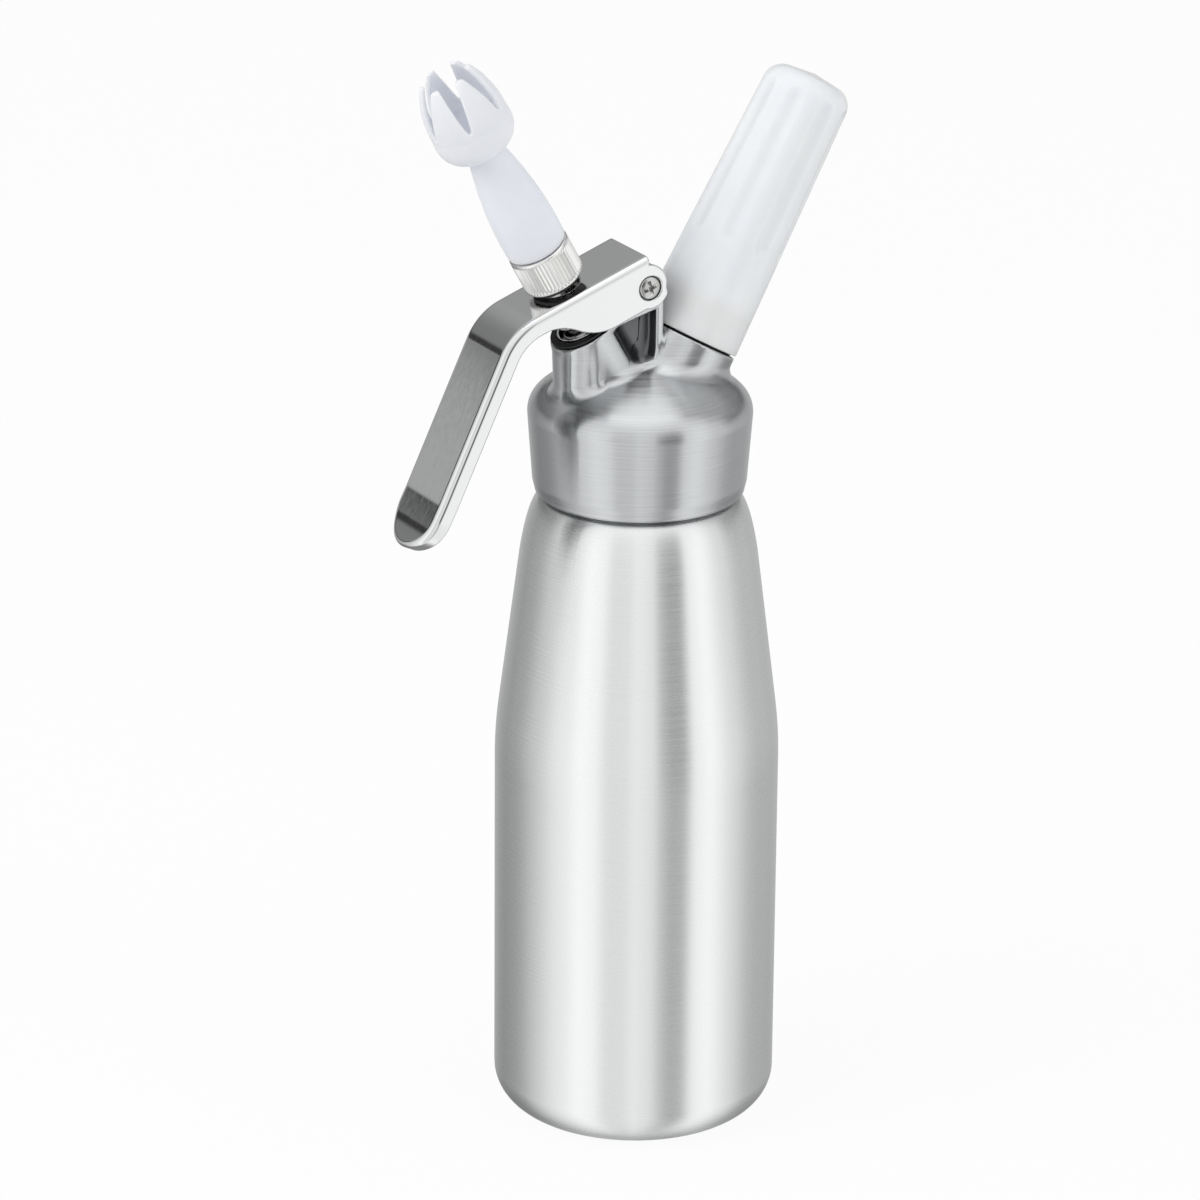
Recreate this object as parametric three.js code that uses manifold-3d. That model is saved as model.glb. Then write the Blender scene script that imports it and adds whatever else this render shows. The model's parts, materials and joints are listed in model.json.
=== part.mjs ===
// A half-litre whipped cream dispenser: an aluminium bottle with a screwed cast head, a lever
// that presses a sprung valve stem, a decorating tip, and a holder for one gas charger.
// Millimetres, +Z up. The origin is the centre of the bottle's base. +X points to the charger
// holder and -X to the decorating tip, so XZ is the mirror plane of the whole object.

import * as THREE from 'three';
import { mergeVertices } from 'three/addons/utils/BufferGeometryUtils.js';
import Module from 'manifold-3d';

const wasm = await Module();
wasm.setup();

const degree = Math.PI / 180;

// Clearances and tolerances that every piece shares
const seatGap = 0.3;
const threadGap = 0.4;
const overrun = 3;
const weldTolerance = 0.0005;

// How finely round forms are drawn
const wideSides = 40;
const midSides = 24;
const smallSides = 16;
const arcSteps = 4;
const curveSteps = 4;

// Bottle; a drop is measured down from its mouth
const bottleRadius = 40;
const bottleWall = 1.4;
const bottleFloor = 2.4;
const baseCorner = 11;
const straightTop = 106;
const taperBend = 123;
const taperAngle = 7.3 * degree;
const taperTopDrop = 37;
const shoulderRadius = 27.6;
const neckHeight = 20.4;
const shoulderPull = 30.9;
const shoulderPullDrop = 22.4;
const neckRadius = 24.9;
const neckWall = 2.2;
const neckFillet = 0.8;
const mouthHeight = 204;
const mouthChamfer = 0.7;

// Seal between bottle and head
const gasketThickness = 2.2;
const gasketWidth = 3.4;

// Head casting; a rise is measured up from the bottle's mouth
const skirtGap = 1;
const skirtWall = 2.4;
const rimRound = 1.5;
const skirtFlare = 0.6;
const skirtFlareHeight = 2.5;
const skirtTopRadius = 31.2;
const skirtRise = 3.6;
const shoulderBulge = 0.1;
const shoulderBulgeHeight = 5;
const domeEdgeRadius = 26;
const domeEdgeRise = 11.6;
const domePullRadius = 15;
const domePullRise = 18.4;
const domeRise = 21.5;
const seatLand = 4.7;
const cavityWallHeight = 2.8;
const cavityCeiling = 7.5;

// The two slanted axes cross on the bottle's axis
const axisCrossDrop = 3;
const nozzleTilt = 29.2 * degree;
const chargerTilt = 29.6 * degree;

// Valve housing, measured along the nozzle axis from where the axes cross
const seatAlong = 15.5;
const housingRadius = 8;
const cupFloorAlong = 27;
const rimAlong = 38.1;
const bossRadius = 9.5;
const cupRadius = 7;
const flankRadius = 8.3;
const flankBaseRise = 10;
const flankX = -17.9;

// Bracket between the valve housing and the pivot
const bracketHalf = 8.5;
const bracketLeftTop = -19.8;
const bracketLeftFoot = -18.1;
const bracketFootRise = 10;
const bracketLip = 0.5;
const lugRadius = 6;
const pocketAcross = 3.8;
const pocketFoot = 24.4;
const pocketHead = 37;
const pocketWeb = 4.9;
const pocketStrip = 2.6;
const pocketRoof = 1.2;

// Charger port, measured along the charger axis
const portAlong = 30;
const portFoot = 14;
const portRadius = 14.4;
const studRadius = 10.4;
const studLength = 10;
const socketRadius = 6;
const socketAlong = 27.5;
const valveBore = 3.2;
const valveFloorAlong = 21.5;
const gasBore = 1.5;
const chargerHousing = 6.5;
const chargerHousingAlong = 16.5;

// Valve stem and what sits on it
const stemRadius = 3.9;
const stemBore = 2.1;
const guideGap = 0.5;
const footRadius = 6.6;
const footThickness = 2.5;
const seatSealThickness = 1.8;
const seatSealRadius = 6.4;
const ringGroove = 0.9;
const ringHeight = 1.7;
const ringAlong = 20;
const sideHoleRadius = 1.3;
const sideHoleAlong = 17.8;
const stemBoreFloor = 16.2;
const springPlateRadius = 7.2;
const springPlateThickness = 2;
const cupLiningWall = 0.6;
const cupLipRise = 1.2;
const cupGasketThickness = 0.7;
const cupGasketInset = 0.3;

// Valve spring
const springWire = 1.1;
const springInset = 0.35;
const springTurns = 6.5;
const springStepsPerTurn = 8;
const springSides = 5;

// Lever: a steel channel, open below
const pivotX = -3.5;
const pivotRise = 42.4;
const leverHalf = 11.1;
const leverWall = 1.5;
const leverEdge = 1;
const plateSlope = 20 * degree;
const plateOffset = 8.6;
const plateEnd = 0.5;
const handleLean = 25.4 * degree;
const bendRadius = 18;
const plateLength = 41.9;
const handleLength = 66;
const handleDepth = 5.2;
const flareLength = 16;
const flareRise = 2;
const cheekDepth = 13.9;
const cheekFlatBack = 29.1;
const cheekCornerBack = 23.3;
const rampBack = 18.7;
const rampDepth = 10.1;
const waistPullBack = 13.9;
const waistBack = 8.9;
const earRadius = 6.1;
const stemSlot = 1.8;

// Pivot
const sleeveRadius = 3;
const sleeveBore = 1.9;
const screwHeadRadius = 3.3;
const screwHeadThickness = 1.3;
const screwShank = 1.6;
const screwShankLength = 6;
const crossWidth = 0.9;
const crossReach = 2;
const crossDepth = 0.7;
const washerRadius = 5.2;

// Adapter, collar and decorating tip, along the nozzle axis; the tip's rises are measured
// from the foot of its cone
const adapterAlong = 54.8;
const adapterLength = 7.2;
const adapterRadius = 5.9;
const collarSetBack = 1.2;
const collarLength = 10.6;
const collarRadius = 8.65;
const collarChamfer = 0.5;
const tipSealThickness = 1;
const tipSealBore = 2.6;
const coneGap = 0.7;
const coneRadius = 8.45;
const coneShoulder = 0.5;
const conePull = 9.3;
const conePullRise = 14.7;
const tipNeckRise = 32.5;
const tipNeckRadius = 5.1;
const tulipPull = 12.4;
const tulipPullRise = 34.7;
const tulipRadius = 11.1;
const tulipRise = 42.5;
const tulipTopPull = 11.4;
const tulipTopPullRise = 49.7;
const tipRise = 57.9;
const tipRadius = 7.4;
const tulipWall = 1.4;
const spigotRadius = 5.9;
const spigotBore = 3;
const petals = 6;
const petalPhase = -24 * degree;
const slotFootRise = 44.7;
const slotFootHalf = 0.45;
const slotPullHalf = 1.9;
const slotPullRise = 49.2;
const slotTopHalf = 2.75;

// Charger holder, measured along the charger axis
const holderAlong = 31.6;
const holderTop = 110;
const holderBaseRadius = 14.5;
const holderTopRadius = 12.7;
const holderRound = 5.8;
const holderCrown = 0.8;
const holderBore = 9.4;
const insertSetBack = 0.4;
const insertLength = 9.5;
const insertWall = 1.6;
const ringInset = 0.6;
const flutes = 8;
const fluteRadius = 4;
const fluteDepth = 0.85;
const fluteFootAlong = 57;
const fluteHeadInset = 4.2;

// Gas charger and the parts it seals on
const chargerLength = 65.5;
const chargerRadius = 9;
const chargerWall = 1.8;
const chargerNeckRadius = 4.3;
const chargerNeckLength = 8.5;
const chargerShoulderLength = 9;
const chargerEnd = 8;
const chargerNeckBore = 2.8;
const capThickness = 1;
const capInset = 0.4;
const pinBodyLength = 4.6;
const pinReach = 5.4;
const pinRadius = 1.1;
const pinBore = 0.45;
const pinPoint = 1.6;
const pinWasherThickness = 1.5;
const pinWasherBore = 2.4;
const chargerSealThickness = 2.2;
const returnValveLength = 4.4;
const returnValveBore = 0.7;

// Places that follow from the sizes above
const taperTop = mouthHeight - taperTopDrop;
const shoulderPullHeight = mouthHeight - shoulderPullDrop;
const shoulderTop = mouthHeight - neckHeight;
const axisCross = mouthHeight - axisCrossDrop;
const skirtTop = mouthHeight + skirtRise;
const domeEdgeHeight = mouthHeight + domeEdgeRise;
const domePullHeight = mouthHeight + domePullRise;
const domeHeight = mouthHeight + domeRise;
const flankBase = mouthHeight + flankBaseRise;
const bracketFoot = mouthHeight + bracketFootRise;
const pivotZ = mouthHeight + pivotRise;
const skirtBottom = shoulderTop + skirtGap;
const threadRadius = neckRadius + threadGap;
const gasketTop = mouthHeight + seatGap + gasketThickness;
const seatHeight = gasketTop + seatGap;
const guideRadius = stemRadius + guideGap;
const footTop = seatAlong - seatGap - seatSealThickness - seatGap;
const stemFoot = footTop - footThickness;
const studTop = portAlong + studLength;
const pinWasherAlong = socketAlong + seatGap;
const pinAlong = pinWasherAlong + pinWasherThickness + seatGap;
const chargerSealAlong = pinAlong + pinBodyLength + seatGap;
const chargerAlong = chargerSealAlong + chargerSealThickness + seatGap;
const adapterTop = adapterAlong + adapterLength;
const stemTop = adapterTop - seatGap;
const collarAlong = adapterAlong + collarSetBack;
const collarTop = collarAlong + collarLength;
const spigotAlong = adapterTop + seatGap + tipSealThickness + seatGap;
const coneAlong = collarTop + coneGap;
const conePullAlong = coneAlong + conePullRise;
const tipNeckAlong = coneAlong + tipNeckRise;
const tulipPullAlong = coneAlong + tulipPullRise;
const tulipAlong = coneAlong + tulipRise;
const tulipTopPullAlong = coneAlong + tulipTopPullRise;
const tipAlong = coneAlong + tipRise;
const slotFootAlong = coneAlong + slotFootRise;
const slotPullAlong = coneAlong + slotPullRise;
const cheekGap = leverHalf - leverWall;

// The plate's underside comes nearest the spring plate at its rim on the pivot's side.
const plateAcross = Math.sin(nozzleTilt - plateSlope);
const plateAlong = Math.cos(nozzleTilt - plateSlope);
const pivotHeight = (pivotZ - axisCross) * Math.cos(plateSlope) - pivotX * Math.sin(plateSlope);
const plateUnderside = plateOffset - leverWall + pivotHeight;
const springPlateTop = (plateUnderside - springPlateRadius * plateAcross) / plateAlong - seatGap;

// Finishes
const finishes = {
  aluminium: { color: 0xc4c6c8, roughness: 0.34, metalness: 1 },
  steel: { color: 0xd2d3d4, roughness: 0.12, metalness: 1 },
  brass: { color: 0xc9a45a, roughness: 0.3, metalness: 1 },
  white: { color: 0xe6e9ee, roughness: 0.35, metalness: 0 },
  rubber: { color: 0x17181a, roughness: 0.75, metalness: 0 },
  silicone: { color: 0xd9dbdc, roughness: 0.6, metalness: 0 },
};

// Turn a closed three.js geometry into a solid that can be joined and cut.
function toSolid(geometry) {
  const bare = geometry.clone();
  bare.deleteAttribute('normal');
  bare.deleteAttribute('uv');
  const welded = mergeVertices(bare, weldTolerance);
  const corners = welded.attributes.position.array;
  const index = welded.index.array;
  const faces = [];
  let volume = 0;
  const a = new THREE.Vector3();
  const b = new THREE.Vector3();
  const c = new THREE.Vector3();
  for (let i = 0; i < index.length; i += 3) {
    const [p, q, r] = [index[i], index[i + 1], index[i + 2]];
    if (p === q || q === r || r === p) continue;
    faces.push(p, q, r);
    a.fromArray(corners, 3 * p);
    b.fromArray(corners, 3 * q);
    c.fromArray(corners, 3 * r);
    volume += a.dot(b.cross(c));
  }
  if (volume < 0) faces.reverse();
  return new wasm.Manifold(new wasm.Mesh({
    numProp: 3,
    vertProperties: new Float32Array(corners),
    triVerts: new Uint32Array(faces),
  }));
}

// A point of a profile: radius or x first, height second.
function at(x, y) {
  return new THREE.Vector2(x, y);
}

// Revolve a profile of radius and height about Z, or about Z of the frame given.
function revolve(profile, sides, frame) {
  const onAxis = profile[0].x === 0 && profile[profile.length - 1].x === 0;
  const loop = onAxis ? profile : [...profile, profile[0]];
  const geometry = new THREE.LatheGeometry(loop, sides).rotateX(Math.PI / 2);
  if (frame) geometry.applyMatrix4(frame);
  return toSolid(geometry);
}

// A plain ring or disc between two heights.
function ring(inner, outer, low, high, sides, frame) {
  const profile = [at(inner, low), at(outer, low), at(outer, high), at(inner, high)];
  return revolve(profile, sides, frame);
}

// Extrude an outline drawn in X and Z, centred on the mirror plane.
function slab(outline, half, bevel = 0) {
  const geometry = new THREE.ExtrudeGeometry(new THREE.Shape(outline), {
    depth: 2 * (half - bevel),
    curveSegments: arcSteps,
    bevelEnabled: bevel > 0,
    bevelSize: bevel,
    bevelThickness: bevel,
    bevelOffset: -bevel,
    bevelSegments: 2,
  });
  geometry.translate(0, 0, bevel - half).rotateX(Math.PI / 2);
  return toSolid(geometry);
}

// Points of a quadratic curve, without its first point.
function bend(from, pull, to, steps = curveSteps) {
  return new THREE.QuadraticBezierCurve(from, pull, to).getPoints(steps).slice(1);
}

// Points of an arc from one angle to another, both ends included.
function arc(x, y, radius, from, to, steps = arcSteps) {
  return Array.from({ length: steps + 1 }, (_, i) => {
    const angle = from + (to - from) * (i / steps);
    return at(x + radius * Math.cos(angle), y + radius * Math.sin(angle));
  });
}

// Skin two rings of points, each with as many points as the other, into a closed solid.
function loft(lower, upper) {
  const count = lower.length;
  const centre = (points) => points
    .reduce((sum, point) => sum.add(point), new THREE.Vector3())
    .divideScalar(count);
  const corners = [...lower, ...upper, centre(lower), centre(upper)];
  const faces = [];
  for (let i = 0; i < count; i += 1) {
    const j = (i + 1) % count;
    faces.push(i, j, count + j, i, count + j, count + i);
    faces.push(j, i, 2 * count, count + i, count + j, 2 * count + 1);
  }
  const geometry = new THREE.BufferGeometry().setFromPoints(corners);
  geometry.setIndex(faces);
  return toSolid(geometry);
}

// A circle of points in the XY plane of a frame.
function circlePoints(radius, count, frame) {
  return Array.from({ length: count }, (_, i) => {
    const angle = 2 * Math.PI * (i / count);
    const point = new THREE.Vector3(radius * Math.cos(angle), radius * Math.sin(angle), 0);
    return point.applyMatrix4(frame);
  });
}

// The frame of a slanted axis: its Z runs along the axis, and its X stays in the mirror plane.
function slantedFrame(tilt) {
  return new THREE.Matrix4().makeRotationY(tilt).setPosition(0, 0, axisCross);
}

const nozzleFrame = slantedFrame(-nozzleTilt);
const chargerFrame = slantedFrame(chargerTilt);

// A point in the mirror plane, given along and across the nozzle axis.
function nozzlePoint(along, across) {
  const x = -along * Math.sin(nozzleTilt) + across * Math.cos(nozzleTilt);
  const z = axisCross + along * Math.cos(nozzleTilt) + across * Math.sin(nozzleTilt);
  return at(x, z);
}

// A cylinder across the mirror plane, from one y to another.
function crossCylinder(x, z, radius, from, to, sides = smallSides) {
  const frame = new THREE.Matrix4().makeRotationX(Math.PI / 2).setPosition(x, 0, z);
  const profile = [at(0, -to), at(radius, -to), at(radius, -from), at(0, -from)];
  return revolve(profile, sides, frame);
}

const dispenser = new THREE.Group();
const nozzleGroup = new THREE.Group();
nozzleGroup.position.set(0, 0, axisCross);
nozzleGroup.rotation.y = -nozzleTilt;
const chargerGroup = new THREE.Group();
chargerGroup.position.set(0, 0, axisCross);
chargerGroup.rotation.y = chargerTilt;
dispenser.add(nozzleGroup, chargerGroup);

// Add a solid as a named mesh with its finish.
function addPiece(name, solid, finish, parent = dispenser) {
  const { vertProperties, triVerts } = solid.getMesh();
  const geometry = new THREE.BufferGeometry();
  geometry.setAttribute('position', new THREE.BufferAttribute(vertProperties, 3));
  geometry.setIndex(new THREE.BufferAttribute(triVerts, 1));
  geometry.computeVertexNormals();
  const mesh = new THREE.Mesh(geometry, new THREE.MeshStandardMaterial(finishes[finish]));
  mesh.name = name;
  parent.add(mesh);
}

// Bottle: one drawn shell with a long taper and a short neck.
// The inner face is the outer one moved in by the wall.
function bottleSide(inset, foot, neck, neckFoot) {
  const round = baseCorner - inset;
  const bendCentre = bottleRadius - taperBend;
  const bendSize = taperBend - inset;
  const corner = arc(bottleRadius - baseCorner, foot + round, round, -90 * degree, 0, arcSteps + 1);
  const taper = arc(bendCentre, straightTop, bendSize, 0, taperAngle, 3);
  const bendTop = taper[taper.length - 1];
  const taperEnd = at(bendTop.x - (taperTop - bendTop.y) * Math.tan(taperAngle), taperTop);
  const pull = at(shoulderPull - inset, shoulderPullHeight - inset);
  const shoulder = bend(taperEnd, pull, at(neck, neckFoot));
  return [...corner, ...taper, taperEnd, ...shoulder];
}

function makeBottle() {
  const inside = neckRadius - neckWall;
  const outer = [
    at(0, 0),
    ...bottleSide(0, 0, shoulderRadius, shoulderTop),
    at(neckRadius + neckFillet, shoulderTop + neckFillet / 2),
    at(neckRadius, shoulderTop + neckFillet + neckFillet),
    at(neckRadius, mouthHeight - mouthChamfer),
    at(neckRadius - mouthChamfer, mouthHeight),
  ];
  const inner = [
    at(0, bottleFloor),
    ...bottleSide(bottleWall, bottleFloor, inside, shoulderTop - bottleWall),
    at(inside, mouthHeight - mouthChamfer),
    at(inside + mouthChamfer, mouthHeight),
  ];
  return revolve([...outer, ...inner.reverse()], wideSides);
}

function makeHeadGasket() {
  const low = mouthHeight + seatGap;
  const outer = threadRadius - seatGap;
  return ring(outer - gasketWidth, outer, low, gasketTop, wideSides);
}

// Head: the turned cap, with the valve housing, bracket and charger port cast on.
function headCap() {
  const rimRadius = threadRadius + skirtWall + rimRound;
  const lowSkirt = at(rimRadius + skirtFlare, skirtBottom + rimRound + skirtFlareHeight);
  const shoulderPullPoint = at(skirtTopRadius + shoulderBulge, skirtTop + shoulderBulgeHeight);
  const domeEdge = at(domeEdgeRadius, domeEdgeHeight);
  const domePull = at(domePullRadius, domePullHeight);
  const skirtEdge = at(skirtTopRadius, skirtTop);
  return revolve([
    at(0, skirtBottom),
    ...arc(rimRadius - rimRound, skirtBottom + rimRound, rimRound, -90 * degree, 0, 3),
    lowSkirt,
    skirtEdge,
    ...bend(skirtEdge, shoulderPullPoint, domeEdge),
    ...bend(domeEdge, domePull, at(0, domeHeight)),
  ], wideSides);
}

// The hollow under the cap: thread bore, gasket seat and a domed ceiling.
function headHollow() {
  const landRadius = threadRadius - seatLand;
  const wallTop = seatHeight + cavityWallHeight;
  const ceiling = domeHeight - cavityCeiling;
  const wallEdge = at(landRadius, wallTop);
  const pull = at(landRadius * (2 / 3), ceiling - cavityWallHeight / 2);
  return revolve([
    at(0, skirtBottom - overrun),
    at(threadRadius, skirtBottom - overrun),
    at(threadRadius, seatHeight),
    at(landRadius, seatHeight),
    wallEdge,
    ...bend(wallEdge, pull, at(0, ceiling)),
  ], wideSides);
}

// The valve housing leans with the nozzle, and its left flank runs down to the cap.
function valveHousing() {
  const tube = revolve([
    at(0, seatAlong),
    at(bossRadius, seatAlong),
    at(bossRadius, rimAlong),
    at(0, rimAlong),
  ], midSides, nozzleFrame);
  const rimFrame = nozzleFrame.clone().multiply(new THREE.Matrix4().makeTranslation(0, 0, rimAlong));
  const footFrame = new THREE.Matrix4().makeTranslation(flankX, 0, flankBase);
  const flank = loft(
    circlePoints(flankRadius, midSides, footFrame),
    circlePoints(bossRadius, midSides, rimFrame),
  );
  return tube.add(flank);
}

// How far across the nozzle axis a place at one x and one distance along it lies.
function acrossAt(x, along) {
  return (x + along * Math.sin(nozzleTilt)) / Math.cos(nozzleTilt);
}

// The bracket is a plate on the mirror plane that rises to the pivot, hollowed on both faces.
function bracket() {
  const lipAlong = rimAlong - bracketLip;
  const lug = arc(pivotX, pivotZ, lugRadius, 180 * degree, 0, 3 * arcSteps);
  const plate = slab([
    at(bracketLeftFoot, bracketFoot),
    nozzlePoint(lipAlong, acrossAt(bracketLeftTop, lipAlong)),
    nozzlePoint(lipAlong, bossRadius),
    ...lug,
    at(pivotX + lugRadius, bracketFoot),
  ], bracketHalf);
  const stripEdge = pivotX + lugRadius - pocketStrip;
  const foot = nozzlePoint(pocketFoot, pocketAcross);
  const head = nozzlePoint(pocketHead, pocketAcross);
  const roof = pivotZ - lugRadius - pocketRoof;
  const hollow = [foot, at(stripEdge, foot.y + pocketRoof / 2), at(stripEdge, roof), head];
  const recess = slab(hollow, bracketHalf + overrun);
  const web = slab(hollow, pocketWeb);
  return plate.subtract(recess).add(web);
}

function chargerPort() {
  return revolve([
    at(0, portFoot),
    at(portRadius, portFoot),
    at(portRadius, portAlong),
    at(studRadius, portAlong),
    at(studRadius, studTop),
    at(0, studTop),
  ], midSides, chargerFrame);
}

// Bores for the stem, its spring cup, the gas valve and the piercing pin.
function nozzleBore() {
  return revolve([
    at(0, seatAlong - overrun),
    at(guideRadius, seatAlong - overrun),
    at(guideRadius, cupFloorAlong),
    at(cupRadius, cupFloorAlong),
    at(cupRadius, rimAlong + overrun),
    at(0, rimAlong + overrun),
  ], smallSides, nozzleFrame);
}

function chargerBore() {
  return revolve([
    at(0, chargerHousingAlong - overrun),
    at(gasBore, chargerHousingAlong - overrun),
    at(gasBore, valveFloorAlong),
    at(valveBore, valveFloorAlong),
    at(valveBore, socketAlong),
    at(socketRadius, socketAlong),
    at(socketRadius, studTop + overrun),
    at(0, studTop + overrun),
  ], smallSides, chargerFrame);
}

function makeHead() {
  const outside = headCap().add(valveHousing()).add(bracket()).add(chargerPort());
  const valveSeat = revolve([
    at(0, seatAlong),
    at(housingRadius, seatAlong),
    at(housingRadius, cupFloorAlong - housingRadius / 2),
    at(0, cupFloorAlong - housingRadius / 2),
  ], smallSides, nozzleFrame);
  const gasBoss = revolve([
    at(0, chargerHousingAlong),
    at(chargerHousing, chargerHousingAlong),
    at(chargerHousing, valveFloorAlong),
    at(0, valveFloorAlong),
  ], smallSides, chargerFrame);
  const pivotHole = crossCylinder(
    pivotX, pivotZ, sleeveRadius + seatGap, -bracketHalf - overrun, bracketHalf + overrun,
  );
  return outside
    .subtract(headHollow())
    .add(valveSeat)
    .add(gasBoss)
    .subtract(nozzleBore())
    .subtract(chargerBore())
    .subtract(pivotHole);
}

// Stem: a tube that slides in the housing, with a foot that closes the seat from inside.
// Cream enters it through side holes between the foot and the sealing ring.
function makeValveStem() {
  const grooveRadius = stemRadius - ringGroove;
  const grooveTop = ringAlong + ringHeight + seatGap;
  const tube = revolve([
    at(0, stemFoot),
    at(footRadius, stemFoot),
    at(footRadius, footTop),
    at(stemRadius, footTop),
    at(stemRadius, ringAlong),
    at(grooveRadius, ringAlong),
    at(grooveRadius, grooveTop),
    at(stemRadius, grooveTop),
    at(stemRadius, stemTop),
    at(stemBore, stemTop),
    at(stemBore, stemBoreFloor),
    at(0, stemBoreFloor),
  ], smallSides);
  const sideHole = crossCylinder(
    0, sideHoleAlong, sideHoleRadius, -stemRadius - overrun, stemRadius + overrun, smallSides / 2,
  );
  return tube.subtract(sideHole);
}

function makeSeatSeal() {
  const low = footTop + seatGap;
  return ring(stemRadius + seatGap, seatSealRadius, low, low + seatSealThickness, smallSides);
}

function makeStemRing() {
  const inner = stemRadius - ringGroove + seatGap;
  const low = ringAlong + seatGap / 2;
  return ring(inner, guideRadius - seatGap, low, low + ringHeight, smallSides);
}

// The spring pushes this plate up, and the lever presses it down.
function makeSpringPlate() {
  return ring(
    stemRadius + seatGap,
    springPlateRadius,
    springPlateTop - springPlateThickness,
    springPlateTop,
    midSides,
  );
}

// Chrome lining of the cup, with a lip that stands above the rim.
function makeSpringCup() {
  const outer = cupRadius - seatGap;
  const inner = outer - cupLiningWall;
  const lipFoot = rimAlong + seatGap;
  return revolve([
    at(inner, cupFloorAlong + seatGap),
    at(outer, cupFloorAlong + seatGap),
    at(outer, lipFoot),
    at(cupRadius, lipFoot),
    at(cupRadius, lipFoot + cupLipRise),
    at(inner, lipFoot + cupLipRise),
  ], midSides);
}

function makeCupGasket() {
  const low = rimAlong + seatGap;
  const inner = cupRadius + cupGasketInset;
  return ring(inner, bossRadius - cupGasketInset, low, low + cupGasketThickness, midSides);
}

// The centre line of a coil spring.
class Helix extends THREE.Curve {
  constructor(radius, low, high, turns) {
    super();
    Object.assign(this, { radius, low, high, turns });
  }

  getPoint(share, target = new THREE.Vector3()) {
    const angle = 2 * Math.PI * this.turns * share;
    const height = this.low + (this.high - this.low) * share;
    return target.set(this.radius * Math.cos(angle), this.radius * Math.sin(angle), height);
  }
}

// The least gap between one turn of the coil and the next, measured on points of its line.
function coilGap(curve, wire) {
  const steps = springStepsPerTurn * springTurns * 4;
  const points = Array.from({ length: steps + 1 }, (_, i) => curve.getPoint(i / steps));
  const halfTurn = Math.round(steps / springTurns / 2);
  let least = Infinity;
  points.forEach((point, i) => {
    points.slice(i + halfTurn).forEach((other) => {
      least = Math.min(least, point.distanceTo(other) - wire);
    });
  });
  return least;
}

function makeValveSpring() {
  const cupInner = cupRadius - seatGap - cupLiningWall;
  const radius = cupInner - springInset - springWire / 2;
  const low = cupFloorAlong + seatGap + springWire;
  const high = springPlateTop - springPlateThickness - seatGap - springWire;
  const line = new Helix(radius, low, high, springTurns);
  const section = new THREE.Shape(arc(0, 0, springWire / 2, 0, 2 * Math.PI, springSides).slice(1));
  console.log(`valve spring: least gap between turns ${coilGap(line, springWire).toFixed(2)} mm`);
  return toSolid(new THREE.ExtrudeGeometry(section, {
    steps: springStepsPerTurn * springTurns,
    extrudePath: line,
    bevelEnabled: false,
  }));
}

// Lever: a pressed channel whose top plate bends down into the handle.
// Places on the plate are given from the foot of the pivot's perpendicular on it:
// how far down the slope, and how deep below the outer face.
function platePoint(down, depth) {
  const drop = plateOffset - depth;
  return at(
    pivotX - drop * Math.sin(plateSlope) - down * Math.cos(plateSlope),
    pivotZ + drop * Math.cos(plateSlope) - down * Math.sin(plateSlope),
  );
}

function handlePoint(down, depth) {
  const corner = platePoint(plateLength, 0);
  return at(
    corner.x - down * Math.sin(handleLean) + depth * Math.cos(handleLean),
    corner.y - down * Math.cos(handleLean) - depth * Math.sin(handleLean),
  );
}

// The handle's last stretch, which flares away from the bottle, at a depth below its face.
function handleEnd(depth) {
  const start = handleLength - flareLength;
  return Array.from({ length: arcSteps + 1 }, (_, i) => {
    const along = (flareLength + overrun) * (i / arcSteps);
    return handlePoint(start + along, depth - flareRise * (along / flareLength) ** 2);
  });
}

// The bend between plate and handle, at a depth below the outer face.
function leverBend(depth, steps) {
  const turn = 90 * degree - plateSlope - handleLean;
  const tangent = bendRadius * Math.tan(turn / 2);
  const centre = platePoint(plateLength - tangent, bendRadius);
  const from = 90 * degree + plateSlope;
  return arc(centre.x, centre.y, bendRadius - depth, from, from + turn, steps);
}

// The outline of a cheek: plate, bend, handle, and back along the lower edge to the ear.
// Places on the lower edge are measured back from the bend's corner.
function cheekOutline() {
  const end = -(pivotX - plateEnd - platePoint(0, 0).x) / Math.cos(plateSlope);
  const plateTip = platePoint(end, 0);
  const before = (back, depth) => platePoint(plateLength - back, depth);
  const flatEnd = before(cheekFlatBack, cheekDepth);
  const ramp = before(rampBack, rampDepth);
  const waist = before(waistBack, handleDepth);
  const notch = Math.acos(-plateEnd / earRadius);
  return [
    plateTip,
    ...leverBend(0, arcSteps + 2),
    ...handleEnd(0),
    ...handleEnd(handleDepth).reverse(),
    ...leverBend(handleDepth, arcSteps).reverse(),
    waist,
    ...bend(waist, before(waistPullBack, handleDepth), ramp, 4),
    ...bend(ramp, before(cheekCornerBack, cheekDepth), flatEnd, 4),
    ...arc(pivotX, pivotZ, earRadius, -100 * degree, notch, 3 * arcSteps),
  ];
}

// The space between the cheeks, under the plate and the handle's face.
function leverHollow() {
  const right = platePoint(-lugRadius - bendRadius, leverWall);
  return [
    right,
    ...leverBend(leverWall, arcSteps + 2),
    ...handleEnd(leverWall),
    at(right.x, pivotZ - handleLength - bendRadius),
  ];
}

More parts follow.
